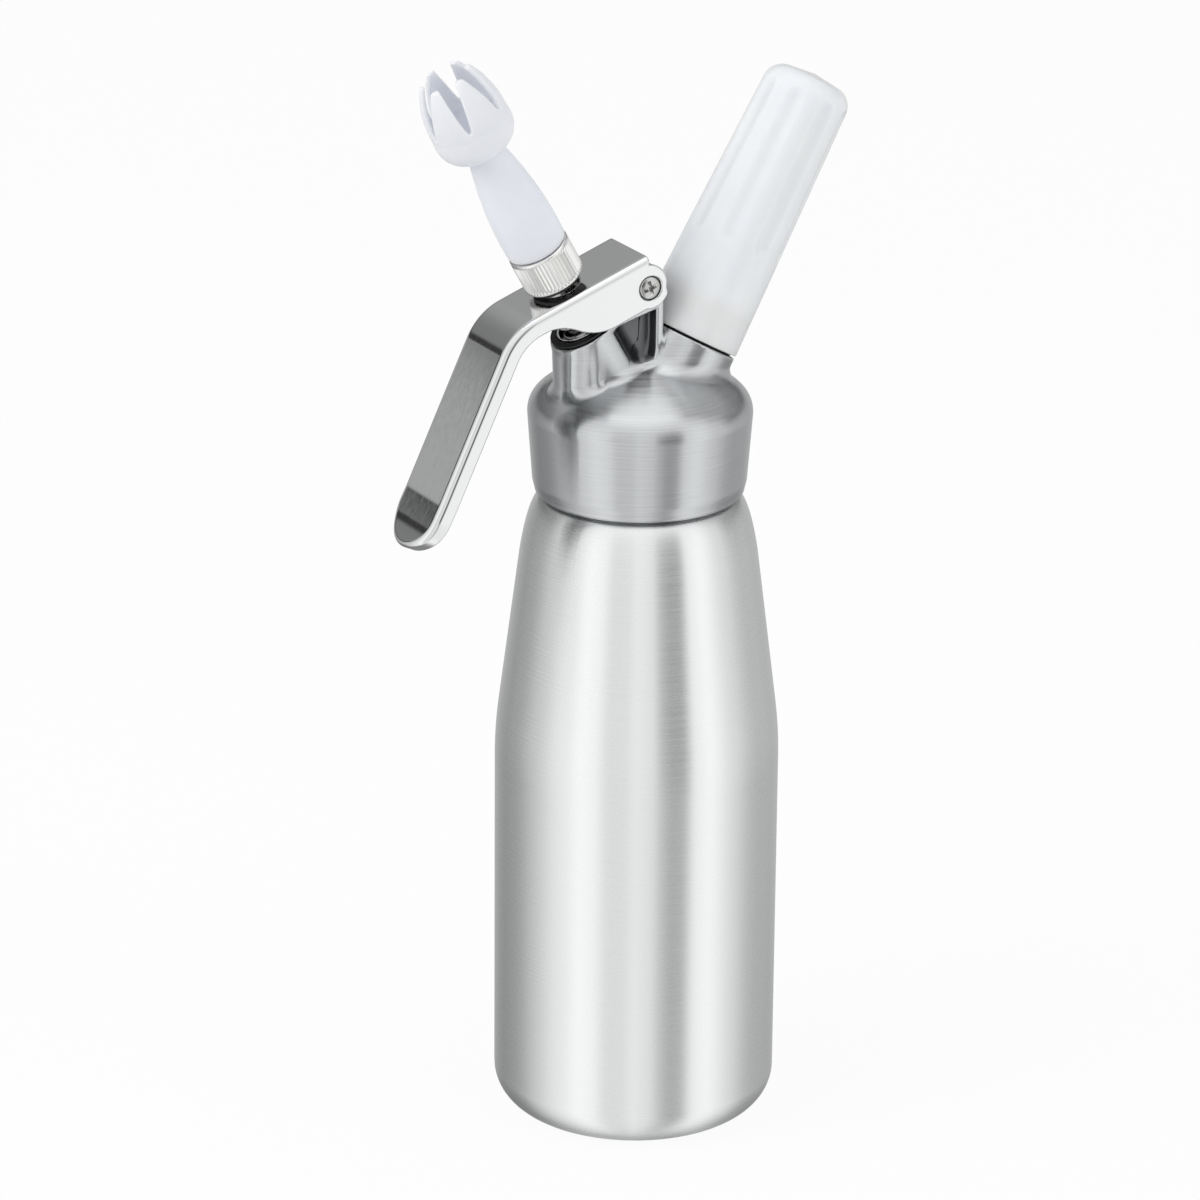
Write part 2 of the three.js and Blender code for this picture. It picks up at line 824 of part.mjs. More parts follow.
// The lever's face seen square to the handle: straight sides and a half-round end.
function leverFace(half) {
  const end = arc(0, leverHalf, half, 180 * degree, 360 * degree, 2 * arcSteps + 2);
  const top = handleLength + plateLength + overrun;
  const outline = new THREE.Shape([...end, at(half, top), at(-half, top)]);
  const reach = handleLength + plateLength;
  const geometry = new THREE.ExtrudeGeometry(outline, { depth: 2 * reach, bevelEnabled: false });
  geometry.translate(0, 0, -reach);
  const across = new THREE.Vector3(0, 1, 0);
  const up = new THREE.Vector3(Math.sin(handleLean), 0, Math.cos(handleLean));
  const foot = handlePoint(handleLength, 0);
  const frame = new THREE.Matrix4().makeBasis(across, up, across.clone().cross(up));
  frame.setPosition(foot.x, 0, foot.y);
  return toSolid(geometry.applyMatrix4(frame));
}

function makeLever() {
  const outside = slab(cheekOutline(), leverHalf, leverEdge).intersect(leverFace(leverHalf));
  const inside = slab(leverHollow(), cheekGap).intersect(leverFace(cheekGap));
  const slotRadius = stemRadius + stemSlot;
  const stemHole = revolve([
    at(0, springPlateTop - overrun),
    at(slotRadius, springPlateTop - overrun),
    at(slotRadius, collarAlong + overrun),
    at(0, collarAlong + overrun),
  ], smallSides, nozzleFrame);
  const screwHole = crossCylinder(
    pivotX, pivotZ, screwHeadRadius + seatGap, -leverHalf - overrun, leverHalf + overrun,
  );
  return outside.subtract(inside).subtract(stemHole).subtract(screwHole);
}

// Pivot: a sleeve through the bracket, and a cross-head screw in each end of it.
function makePivotSleeve() {
  const end = leverHalf - screwHeadThickness - seatGap;
  const outer = crossCylinder(pivotX, pivotZ, sleeveRadius, -end, end);
  return outer.subtract(crossCylinder(pivotX, pivotZ, sleeveBore, -end - overrun, end + overrun));
}

function makePivotScrew(side) {
  const headFoot = leverHalf - screwHeadThickness;
  const spans = (from, to) => [Math.min(side * from, side * to), Math.max(side * from, side * to)];
  const head = crossCylinder(pivotX, pivotZ, screwHeadRadius, ...spans(headFoot, leverHalf));
  const shank = crossCylinder(
    pivotX, pivotZ, screwShank, ...spans(headFoot - screwShankLength, leverHalf - crossDepth),
    smallSides / 2,
  );
  const bar = (turn) => {
    const box = new THREE.BoxGeometry(2 * crossReach, 2 * crossDepth, crossWidth);
    box.rotateY(turn).translate(pivotX, side * leverHalf, pivotZ);
    return toSolid(box);
  };
  return head.add(shank).subtract(bar(0)).subtract(bar(90 * degree));
}

function makePivotWasher(side) {
  const near = side * (bracketHalf + seatGap);
  const far = side * (cheekGap - seatGap);
  const [from, to] = [Math.min(near, far), Math.max(near, far)];
  const disc = crossCylinder(pivotX, pivotZ, washerRadius, from, to);
  const hole = crossCylinder(pivotX, pivotZ, sleeveRadius + seatGap, from - overrun, to + overrun);
  return disc.subtract(hole);
}

// Adapter on the stem, and the steel collar that holds the tip on it.
function makeNozzleAdapter() {
  return ring(stemRadius + seatGap, adapterRadius, adapterAlong, adapterTop, smallSides);
}

function makeTipCollar() {
  const inner = adapterRadius + seatGap;
  return revolve([
    at(inner, collarAlong),
    at(collarRadius - collarChamfer, collarAlong),
    at(collarRadius, collarAlong + collarChamfer),
    at(collarRadius, collarTop),
    at(inner, collarTop),
  ], midSides);
}

function makeTipSeal() {
  const low = adapterTop + seatGap;
  return ring(tipSealBore, adapterRadius, low, low + tipSealThickness, smallSides);
}

// The tip swells from a cone through a neck into a tulip, and slots part its petals.
function tipOutside() {
  const base = at(coneRadius, coneAlong + coneShoulder);
  const neck = at(tipNeckRadius, tipNeckAlong);
  const belly = at(tulipRadius, tulipAlong);
  return [
    at(spigotRadius, spigotAlong),
    at(spigotRadius, coneAlong),
    at(coneRadius - coneShoulder / 2, coneAlong),
    base,
    ...bend(base, at(conePull, conePullAlong), neck),
    ...bend(neck, at(tulipPull, tulipPullAlong), belly),
    ...bend(belly, at(tulipTopPull, tulipTopPullAlong), at(tipRadius, tipAlong)),
  ];
}

function tipInside() {
  const neck = at(spigotBore, tipNeckAlong + tulipWall);
  const belly = at(tulipRadius - tulipWall, tulipAlong);
  const pull = at(tulipPull - tulipWall, tulipPullAlong + tulipWall);
  const topPull = at(tulipTopPull - tulipWall, tulipTopPullAlong);
  return [
    at(spigotBore, spigotAlong),
    neck,
    ...bend(neck, pull, belly),
    ...bend(belly, topPull, at(tipRadius - tulipWall, tipAlong)),
  ];
}

// A slot cut through both sides of the tulip, narrow at its foot and wide at the petals' tips.
function petalSlot(angle) {
  const foot = slotFootAlong + slotFootHalf;
  const pull = at(slotPullHalf, slotPullAlong);
  const right = bend(at(slotFootHalf, foot), pull, at(slotTopHalf, tipAlong), 3);
  const above = [...right, at(slotTopHalf, tipAlong + overrun)];
  const outline = new THREE.Shape([
    ...arc(0, foot, slotFootHalf, 180 * degree, 360 * degree, 4),
    ...above,
    ...above.map((point) => at(-point.x, point.y)).reverse(),
  ]);
  const reach = tulipRadius + overrun;
  const geometry = new THREE.ExtrudeGeometry(outline, { depth: 2 * reach, bevelEnabled: false });
  geometry.translate(0, 0, -reach);
  const radial = new THREE.Vector3(Math.cos(angle), Math.sin(angle), 0);
  const along = new THREE.Vector3(0, 0, 1);
  const tangent = along.clone().cross(radial);
  geometry.applyMatrix4(new THREE.Matrix4().makeBasis(tangent, along, radial));
  return toSolid(geometry);
}

function makeDecoratorTip() {
  let tip = revolve([...tipOutside(), ...tipInside().reverse()], midSides);
  for (let slot = 0; slot < petals / 2; slot += 1) {
    tip = tip.subtract(petalSlot(petalPhase + (slot + 0.5) * (2 * Math.PI / petals)));
  }
  return tip;
}

// Charger: a drawn steel bottle with a narrow neck that points down into the port.
function chargerSide(inset, neck) {
  const neckTop = chargerAlong + chargerNeckLength;
  const shoulderTopAlong = neckTop + chargerShoulderLength;
  const body = chargerRadius - inset;
  const endFoot = chargerAlong + chargerLength - chargerEnd;
  const shoulder = bend(at(neck, neckTop), at(body, neckTop), at(body, shoulderTopAlong), 5);
  return [at(neck, chargerAlong), at(neck, neckTop), ...shoulder, at(body, endFoot)];
}

// The rounded end, from the side to the axis, with a height of its own.
function roundEnd(radius, foot, height) {
  return Array.from({ length: arcSteps }, (_, i) => {
    const angle = 90 * degree * ((i + 1) / arcSteps);
    const last = i === arcSteps - 1;
    return at(last ? 0 : radius * Math.cos(angle), foot + height * Math.sin(angle));
  });
}

function makeCharger() {
  const endFoot = chargerAlong + chargerLength - chargerEnd;
  const outer = [
    ...chargerSide(0, chargerNeckRadius),
    ...roundEnd(chargerRadius, endFoot, chargerEnd),
  ];
  const inner = [
    ...chargerSide(chargerWall, chargerNeckBore),
    ...roundEnd(chargerRadius - chargerWall, endFoot, chargerEnd - chargerWall),
  ];
  return revolve([...outer.reverse(), ...inner], smallSides);
}

function makeChargerCap() {
  const low = chargerAlong + capInset;
  return ring(pinRadius + seatGap, chargerNeckBore - seatGap, low, low + capThickness, smallSides);
}

// Piercing pin: a plug in the port's socket with a hollow needle.
function makePiercingPin() {
  const bodyTop = pinAlong + pinBodyLength;
  return revolve([
    at(pinBore, pinAlong),
    at(socketRadius - seatGap, pinAlong),
    at(socketRadius - seatGap, bodyTop),
    at(pinRadius, bodyTop),
    at(pinRadius, bodyTop + pinReach - pinPoint),
    at(pinBore + (pinRadius - pinBore) / 4, bodyTop + pinReach),
    at(pinBore, bodyTop + pinReach),
  ], smallSides / 2);
}

function makePinWasher() {
  const outer = socketRadius - seatGap;
  return ring(pinWasherBore, outer, pinWasherAlong, pinWasherAlong + pinWasherThickness, smallSides);
}

function makeChargerSeal() {
  const low = chargerSealAlong;
  const outer = socketRadius - seatGap;
  return ring(pinRadius + seatGap, outer, low, low + chargerSealThickness, smallSides);
}

function makeReturnValve() {
  const low = valveFloorAlong + seatGap;
  const outer = valveBore - seatGap;
  return ring(returnValveBore, outer, low, low + returnValveLength, smallSides / 2);
}

// Holder: a tapered moulded sleeve, open below, with shallow finger flutes.
function makeHolderShell() {
  const insertBore = studRadius + threadGap + insertWall + seatGap;
  const insertTop = holderAlong + insertSetBack + insertLength + seatGap;
  const endFoot = chargerAlong + chargerLength - chargerEnd;
  const crownEdge = holderTop - holderCrown;
  const crownRadius = holderTopRadius - holderRound;
  return revolve([
    at(insertBore, holderAlong),
    at(holderBaseRadius, holderAlong),
    at(holderTopRadius, crownEdge - holderRound),
    ...arc(crownRadius, crownEdge - holderRound, holderRound, 0, 80 * degree),
    at(0, holderTop),
    at(0, endFoot + chargerEnd + threadGap),
    ...roundEnd(holderBore, endFoot, chargerEnd + threadGap).reverse().slice(1),
    at(holderBore, endFoot),
    at(holderBore, insertTop),
    at(insertBore, insertTop),
  ].reverse(), midSides);
}

function makeChargerHolder() {
  const slope = (holderBaseRadius - holderTopRadius) / (holderTop - holderAlong);
  const surface = (along) => holderBaseRadius - slope * (along - holderAlong);
  const out = fluteRadius - fluteDepth;
  const low = fluteFootAlong;
  const high = holderTop - fluteHeadInset;
  let holder = makeHolderShell();
  for (let flute = 0; flute < flutes; flute += 1) {
    const length = high - low - 2 * fluteRadius;
    const cutter = new THREE.CapsuleGeometry(fluteRadius, length, 4, smallSides);
    cutter.rotateX(Math.PI / 2).rotateY(-Math.atan(slope));
    cutter.translate(surface((low + high) / 2) + out, 0, (low + high) / 2);
    cutter.rotateZ(2 * Math.PI * (flute / flutes));
    holder = holder.subtract(toSolid(cutter));
  }
  return holder;
}

function makeHolderInsert() {
  const inner = studRadius + threadGap;
  const low = holderAlong + insertSetBack;
  return ring(inner, inner + insertWall, low, low + insertLength, midSides);
}

function makeHolderRing() {
  const inner = studRadius + threadGap;
  return ring(
    inner, holderBaseRadius - ringInset, portAlong + seatGap, holderAlong - seatGap, midSides,
  );
}

addPiece('bottle', makeBottle(), 'aluminium');
addPiece('head_gasket', makeHeadGasket(), 'silicone');
addPiece('head', makeHead(), 'aluminium');
addPiece('lever', makeLever(), 'steel');
addPiece('pivot_sleeve', makePivotSleeve(), 'steel');
addPiece('pivot_screw_front', makePivotScrew(-1), 'steel');
addPiece('pivot_screw_rear', makePivotScrew(1), 'steel');
addPiece('pivot_washer_front', makePivotWasher(-1), 'silicone');
addPiece('pivot_washer_rear', makePivotWasher(1), 'silicone');

addPiece('valve_stem', makeValveStem(), 'steel', nozzleGroup);
addPiece('seat_seal', makeSeatSeal(), 'rubber', nozzleGroup);
addPiece('stem_ring', makeStemRing(), 'rubber', nozzleGroup);
addPiece('spring_plate', makeSpringPlate(), 'steel', nozzleGroup);
addPiece('valve_spring', makeValveSpring(), 'steel', nozzleGroup);
addPiece('spring_cup', makeSpringCup(), 'steel', nozzleGroup);
addPiece('cup_gasket', makeCupGasket(), 'rubber', nozzleGroup);
addPiece('nozzle_adapter', makeNozzleAdapter(), 'steel', nozzleGroup);
addPiece('tip_collar', makeTipCollar(), 'steel', nozzleGroup);
addPiece('tip_seal', makeTipSeal(), 'rubber', nozzleGroup);
addPiece('decorator_tip', makeDecoratorTip(), 'white', nozzleGroup);

addPiece('return_valve', makeReturnValve(), 'rubber', chargerGroup);
addPiece('pin_washer', makePinWasher(), 'rubber', chargerGroup);
addPiece('piercing_pin', makePiercingPin(), 'brass', chargerGroup);
addPiece('charger_seal', makeChargerSeal(), 'rubber', chargerGroup);
addPiece('gas_charger', makeCharger(), 'steel', chargerGroup);
addPiece('charger_cap', makeChargerCap(), 'steel', chargerGroup);
addPiece('holder_ring', makeHolderRing(), 'rubber', chargerGroup);
addPiece('holder_insert', makeHolderInsert(), 'aluminium', chargerGroup);
addPiece('charger_holder', makeChargerHolder(), 'white', chargerGroup);

export default dispenser;
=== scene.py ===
# %% [markdown]
# # A cream whipper, built piece by piece
# The object is a half-litre cream whipper: an aluminium bottle, a die-cast aluminium head,
# a pressed steel lever, a sprung valve under a white decorating tip, and a white holder
# for one gas charger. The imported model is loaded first, because it fixes every size and
# place. Each cell after that makes one piece, or one finish, the way its maker would.
# %% Load the frame
import json
import math

import bpy
import numpy as np
from mathutils import Matrix, Vector


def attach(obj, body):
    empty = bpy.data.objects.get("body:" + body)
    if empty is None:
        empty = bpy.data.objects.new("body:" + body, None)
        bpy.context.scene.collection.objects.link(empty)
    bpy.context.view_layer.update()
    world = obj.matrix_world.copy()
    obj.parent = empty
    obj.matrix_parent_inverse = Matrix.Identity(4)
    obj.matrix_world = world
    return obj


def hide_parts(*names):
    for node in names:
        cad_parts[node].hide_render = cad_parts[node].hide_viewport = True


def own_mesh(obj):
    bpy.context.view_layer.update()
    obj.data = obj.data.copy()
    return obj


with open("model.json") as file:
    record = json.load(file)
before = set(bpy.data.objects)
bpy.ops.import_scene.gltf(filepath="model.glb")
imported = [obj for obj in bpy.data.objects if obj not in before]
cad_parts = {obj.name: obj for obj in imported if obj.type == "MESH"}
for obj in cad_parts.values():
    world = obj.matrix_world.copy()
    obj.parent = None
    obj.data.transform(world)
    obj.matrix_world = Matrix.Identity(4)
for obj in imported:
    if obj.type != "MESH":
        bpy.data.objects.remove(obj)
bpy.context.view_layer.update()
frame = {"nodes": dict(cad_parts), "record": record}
print("nodes in the frame:", len(frame["nodes"]))

# %% [markdown]
# Sizes are written in millimetres, as on a drawing, and turned into Blender's metres when a
# mesh is made. Two axes lean from the bottle's axis and cross on it: the valve's, to the
# left, and the charger's, to the right. Pieces on them are turned upright and then placed.
# %% Units and the three axes
MM = 0.001
degree = math.pi / 180
axis_cross = 201
nozzle_tilt = 29.2 * degree
charger_tilt = 29.6 * degree


def slanted_axis(tilt):
    """The place of a piece that is drawn upright and stands on a leaning axis."""
    return Matrix.Translation((0, 0, axis_cross * MM)) @ Matrix.Rotation(tilt, 4, "Y")


upright = Matrix.Identity(4)
on_nozzle = slanted_axis(-nozzle_tilt)
on_charger = slanted_axis(charger_tilt)

# %% [markdown]
# The photograph was taken from the front left, a little above. The camera below has its
# angle, its distance and its long lens, which were found by fitting the outlines of the
# bottle and the cap. A lens this long keeps the bottle's sides nearly parallel.
# %% Camera
camera_azimuth = -30 * degree
camera_elevation = 21.135 * degree
camera_roll = 0.479 * degree
camera_distance = 1.5727
camera_lens = 168
look_height = 0.130
look_aside = -0.0107
look_up = 0.02039


def outward(turn, lift):
    """The direction from the object to something that stands round it."""
    flat = math.cos(lift)
    return Vector((math.sin(turn) * flat, -math.cos(turn) * flat, math.sin(lift)))


def put(name, data):
    """A new object in the scene."""
    made = bpy.data.objects.new(name, data)
    bpy.context.collection.objects.link(made)
    return made


def place_camera():
    back = outward(camera_azimuth, camera_elevation)
    aside = Vector((math.cos(camera_azimuth), math.sin(camera_azimuth), 0))
    above = aside.cross(-back)
    middle = Vector((0, 0, look_height))
    place = middle + back * camera_distance
    aim = middle + aside * look_aside + above * look_up
    forward = (aim - place).normalized()
    right = forward.cross(Vector((0, 0, 1))).normalized()
    up = right.cross(forward)
    rolled_right = right * math.cos(camera_roll) + up * math.sin(camera_roll)
    rolled_up = up * math.cos(camera_roll) - right * math.sin(camera_roll)
    turned = Matrix((rolled_right, rolled_up, -forward)).transposed().to_4x4()
    data = bpy.data.cameras.new("camera")
    data.lens = camera_lens
    data.sensor_width = 36
    data.clip_start = 0.05
    data.clip_end = 20
    camera = put("camera", data)
    camera.matrix_world = Matrix.Translation(place) @ turned
    bpy.context.scene.camera = camera
    print("camera stands", round(place.length, 3), "m from the base")


place_camera()

# %% [markdown]
# Metal shows the room more than itself. The room here is plain: a white backdrop for the
# camera, and for metal a ring of light with two broad bright sides and a darker gap
# between them, as two tall soft boxes in a pale studio give. The ring turns with the
# room and not with the camera.
# %% Room light
scene = bpy.context.scene
scene.view_settings.view_transform = "Standard"

# Degrees round from the camera's side, and how bright the room is there
room_bands = [
    (-180, 0.60), (-160, 0.56), (-145, 0.46), (-130, 0.42), (-118, 0.50), (-90, 0.78),
    (-62, 1.08), (-46, 1.26), (-36, 1.18), (-22, 0.90), (-10, 0.92), (0, 1.04), (12, 0.96),
    (22, 0.78), (30, 0.58), (38, 0.56), (50, 1.10), (62, 1.24), (88, 0.94), (120, 0.68),
    (145, 0.58), (180, 0.60),
]
room_brightest = 1.3
diffuse_level = 0.75
white = (1, 1, 1, 1)

# Overhead, a soft box hangs in front, toward the camera, and another right above. The room
# behind is darker. The pairs say where each starts and is full, as a share of the direction
overhead_front, overhead_top, overhead_back = 1.15, 1.6, 0.56
overhead_rise, front_reach, top_rise = (0.40, 0.65), (-0.12, 0.15), (0.89, 0.95)
behind_reach = (0.0, -0.25)

# Behind, a dark gap runs between the table's edge and the backdrop: the sine of the height
# over the horizon, and how much light is left there
gap_shares = [(0.15, 1.0), (0.165, 0.1), (0.24, 0.1), (0.28, 0.5), (0.50, 0.65), (0.62, 1.0)]

# In front, right of the camera, a narrow black card stands near the horizon: degrees round
# and share of light left, and the lowest and highest sine of the height it covers
card_shares = [(14, 1.0), (22, 0.25), (38, 0.25), (47, 1.0)]
card_heights = ((-0.26, -0.12), (0.40, -0.05))

# Low down behind, the room is darker too: the sine of the height where that starts and where
# it is full, and the share of light left
low_back = ((-0.36, -0.48), 0.5)


def add(tree, kind, links=None, **settings):
    """Add a node, set what is named, and link or set its inputs."""
    made = tree.nodes.new(kind)
    for key, value in settings.items():
        setattr(made, key, value)
    for socket, value in (links or {}).items():
        if isinstance(value, bpy.types.NodeSocket):
            tree.links.new(value, made.inputs[socket])
        else:
            made.inputs[socket].default_value = value
    return made


def calculate(tree, operation, first, second):
    return add(tree, "ShaderNodeMath", {0: first, 1: second}, operation=operation).outputs[0]


def spread(tree, value, start, end, low=0, high=1):
    """Where a value lies between start and end, laid out from low to high."""
    return add(tree, "ShaderNodeMapRange", {
        "Value": value, "From Min": start, "From Max": end, "To Min": low, "To Max": high,
    }).outputs[0]


def mix(tree, share, first, second, data_type="RGBA", blend_type="MIX"):
    return add(tree, "ShaderNodeMix", {"Factor": share, "A": first, "B": second},
               data_type=data_type, blend_type=blend_type).outputs["Result"]


def mix_shaders(tree, share, first, second):
    return add(tree, "ShaderNodeMixShader", {0: share, 1: first, 2: second}).outputs[0]


def ramp(tree, value, stops, interpolation="LINEAR"):
    """A grey level from 0 to 1 for a value, from stops that each hold a place and a level."""
    made = add(tree, "ShaderNodeValToRGB", {"Fac": value})
    made.color_ramp.interpolation = interpolation
    held = made.color_ramp.elements
    while len(held) > 1:
        held.remove(held[0])
    for number, (place, level) in enumerate(stops):
        stop = held.new(place) if number else held[0]
        stop.position = place
        stop.color = (level, level, level, 1)
    return made.outputs[0]


def light_room():
    world = bpy.data.worlds.new("room")
    scene.world = world
    world.use_nodes = True
    tree = world.node_tree
    tree.nodes.clear()

    def grey(level):
        return [level / room_brightest] * 3 + [1]

    def glow(colour, strength):
        return add(tree, "ShaderNodeBackground", {"Color": colour, "Strength": strength}).outputs[0]

    direction = add(tree, "ShaderNodeTexCoord").outputs["Generated"]
    turned = add(tree, "ShaderNodeVectorRotate", {"Vector": direction, "Angle": -camera_azimuth},
                 rotation_type="Z_AXIS")
    parts = add(tree, "ShaderNodeSeparateXYZ", {0: turned.outputs[0]}).outputs
    toward = calculate(tree, "MULTIPLY", parts["Y"], -1)
    share = spread(tree, calculate(tree, "ARCTAN2", parts["X"], toward), -math.pi, math.pi)
    ring = ramp(tree, share, [
        ((turn + 180) / 360, level / room_brightest) for turn, level in room_bands], "EASE")
    high = mix(tree, spread(tree, toward, *front_reach), grey(overhead_back), grey(overhead_front))
    sky = mix(tree, spread(tree, parts["Z"], *overhead_rise), ring, high)
    ceiling = mix(tree, spread(tree, parts["Z"], *top_rise), sky, grey(overhead_top))
    card = ramp(tree, share, [((turn + 180) / 360, left) for turn, left in card_shares])
    low_end, high_end = (spread(tree, parts["Z"], *ends) for ends in card_heights)
    beside = calculate(tree, "MULTIPLY", low_end, high_end)
    carded = mix(tree, beside, ceiling, card, blend_type="MULTIPLY")
    gap = ramp(tree, parts["Z"], gap_shares)
    behind = spread(tree, toward, *behind_reach)
    low = spread(tree, parts["Z"], *low_back[0], high=1 - low_back[1])
    shaded = mix(tree, calculate(tree, "MULTIPLY", low, behind), carded, (0, 0, 0, 1))
    dimmed = mix(tree, behind, shaded, gap, blend_type="MULTIPLY")
    ray = add(tree, "ShaderNodeLightPath").outputs
    mirrored = calculate(tree, "MAXIMUM", ray["Is Glossy Ray"], ray["Is Transmission Ray"])
    indoors = mix_shaders(tree, mirrored, glow(white, diffuse_level), glow(dimmed, room_brightest))
    shown = mix_shaders(tree, ray["Is Camera Ray"], indoors, glow(white, 1))
    add(tree, "ShaderNodeOutputWorld", {"Surface": shown})


light_room()

# %% [markdown]
# Two large soft lamps give the white plastic its shape. The key lamp stands to the left of
# the camera and the weaker one to the right. They are left out of reflections, because the
# room's bright sides already show there.
# %% Lamps
lamp_target = 0.16
lamp_size = 1.0
# Name, degrees round and up, metres away, and watts
lamp_plan = [("key_lamp", -62, 38, 1.6, 9.0), ("side_lamp", 64, 20, 1.8, 5.0)]


def place_lamps():
    target = Vector((0, 0, lamp_target))
    for name, turn, lift, distance, power in lamp_plan:
        data = bpy.data.lights.new(name, "AREA")
        data.energy = power
        data.size = lamp_size
        lamp = put(name, data)
        out = outward(camera_azimuth + turn * degree, lift * degree)
        lamp.location = target + out * distance
        lamp.rotation_euler = out.to_track_quat("Z", "Y").to_euler()
        lamp.visible_glossy = False


place_lamps()

# %% [markdown]
# The backdrop is one big pale sheet on the floor. The camera sees it as nearly white, so
# that it runs into the white backdrop, but it still takes a soft shadow round the base. It
# is left out of reflections: in the photograph the bottle's bright bands run on down to
# the base, so the table there was as bright as the side of the room behind it.
# %% Floor
paper_grey = 0.86
paper_share = 0.92
paper_width = 6


def lay_floor():
    bpy.ops.mesh.primitive_plane_add(size=paper_width, location=(0, 0, 0))
    floor = bpy.context.object
    floor.name = "floor"
    paper = bpy.data.materials.new("white_paper")
    paper.use_nodes = True
    tree = paper.node_tree
    tree.nodes.clear()
    matte = add(tree, "ShaderNodeBsdfDiffuse", {"Color": (*[paper_grey] * 3, 1)})
    glow = add(tree, "ShaderNodeEmission", {"Color": white, "Strength": 1})
    ray = add(tree, "ShaderNodeLightPath")
    share = calculate(tree, "MULTIPLY", ray.outputs["Is Camera Ray"], paper_share)
    mixed = mix_shaders(tree, share, matte.outputs[0], glow.outputs[0])
    add(tree, "ShaderNodeOutputMaterial", {"Surface": mixed})
    floor.data.materials.append(paper)
    floor.visible_glossy = False


lay_floor()

# %% [markdown]
# Every finish starts from a colour as a paint maker writes it, in hex, which is turned to
# the linear values that light is added up in.
# %% Helpers for finishes


def linear(hex_colour):
    """Turn an sRGB hex colour into linear red, green, blue and alpha."""
    values = []
    for start in (1, 3, 5):
        share = int(hex_colour[start:start + 2], 16) / 255
        values.append(share / 12.92 if share <= 0.04045 else ((share + 0.055) / 1.055) ** 2.4)
    return (*values, 1)


def finish(name, hex_colour, metallic, roughness, **sockets):
    """A new material with a Principled shader set to one finish."""
    made = bpy.data.materials.new(name)
    made.use_nodes = True
    shader = made.node_tree.nodes["Principled BSDF"]
    shader.inputs["Base Color"].default_value = linear(hex_colour)
    shader.inputs["Metallic"].default_value = metallic
    shader.inputs["Roughness"].default_value = roughness
    for socket, value in sockets.items():
        shader.inputs[socket.replace("_", " ").title().replace("Ior", "IOR")].default_value = value
    return made, made.node_tree, shader


def streaks(tree, scale, detail=3):
    """Noise stretched by the scale given for each axis, in cycles per metre."""
    place = add(tree, "ShaderNodeTexCoord").outputs["Object"]
    stretched = add(tree, "ShaderNodeMapping", {"Vector": place, "Scale": scale})
    return add(tree, "ShaderNodeTexNoise", {
        "Vector": stretched.outputs[0], "Scale": 1, "Detail": detail, "Roughness": 0.6}).outputs[0]


def rough_between(tree, shader, noise, low, high):
    """Roughness from the middle part of a noise, where most of its values lie."""
    tree.links.new(spread(tree, noise, 0.3, 0.7, low, high), shader.inputs["Roughness"])


def tint_between(tree, shader, noise, dark, light):
    tree.links.new(mix(tree, noise, linear(dark), linear(light)), shader.inputs["Base Color"])


def bump(tree, shader, noise, height_mm, strength=1):
    raised = add(tree, "ShaderNodeBump", {
        "Height": noise, "Distance": height_mm * MM, "Strength": strength})
    tree.links.new(raised.outputs[0], shader.inputs["Normal"])


# %% [markdown]
# Brushed aluminium: the bottle is turned against an abrasive belt, which leaves fine rings
# all the way round. Light spreads across the rings, up and down, so each bright side of
# the room becomes a tall band. The spread comes from anisotropy, whose direction follows
# the UV map's U, and the rings themselves from noise stretched round the bottle. Real rings
# are about 0.05 mm apart; 0.3 mm is as fine as the render can show.
# %% Brushed aluminium
ring_spacing = 0.3
ring_length = 16


def brushed_aluminium(name, dark, light, low, high, ring_depth):
    made, tree, shader = finish(name, light, 1, low, anisotropic=1)
    across = 1 / (ring_length * MM)
    along = 1 / (ring_spacing * MM)
    rings = streaks(tree, (across, across, along))
    tint_between(tree, shader, rings, dark, light)
    rough_between(tree, shader, rings, low, high)
    bump(tree, shader, rings, ring_depth)
    shader.inputs["Anisotropic Rotation"].default_value = 0.25
    tangent = add(tree, "ShaderNodeTangent", direction_type="UV_MAP", uv_map="grain")
    tree.links.new(tangent.outputs[0], shader.inputs["Tangent"])
    return made


bottle_finish = brushed_aluminium(
    "brushed_bottle_aluminium", "#E0E2E2", "#ECEDED", 0.25, 0.31, 0.0008)
head_finish = brushed_aluminium("satin_cast_aluminium", "#B4B6B8", "#D0D2D3", 0.19, 0.27, 0.002)

# %% [markdown]
# The pockets in the bracket's faces are too deep for the polishing wheel, so the casting's
# dull skin is left there, rougher. Its grey is also darker than the skin alone: painted shade
# for the lever's shadow in the pockets. It is mixed in by place: between the bracket's two
# faces, in the part of the head where only the pockets lie.
# %% Cast skin and painted shade in the pockets
# Where the skin and its painted shade start and are full, in millimetres: in from either face,
# across, and up
skin_and_shade_places = {"Y": (8.35, 7.5), "X": (-13.5, -12.5), "Z": (223.6, 225.2)}
# A dark grey: the rough skin's own colour, darkened as painted shade where the lever shadows the
# pockets
skin_and_shade_colour = "#8E9092"
skin_roughness = 0.6


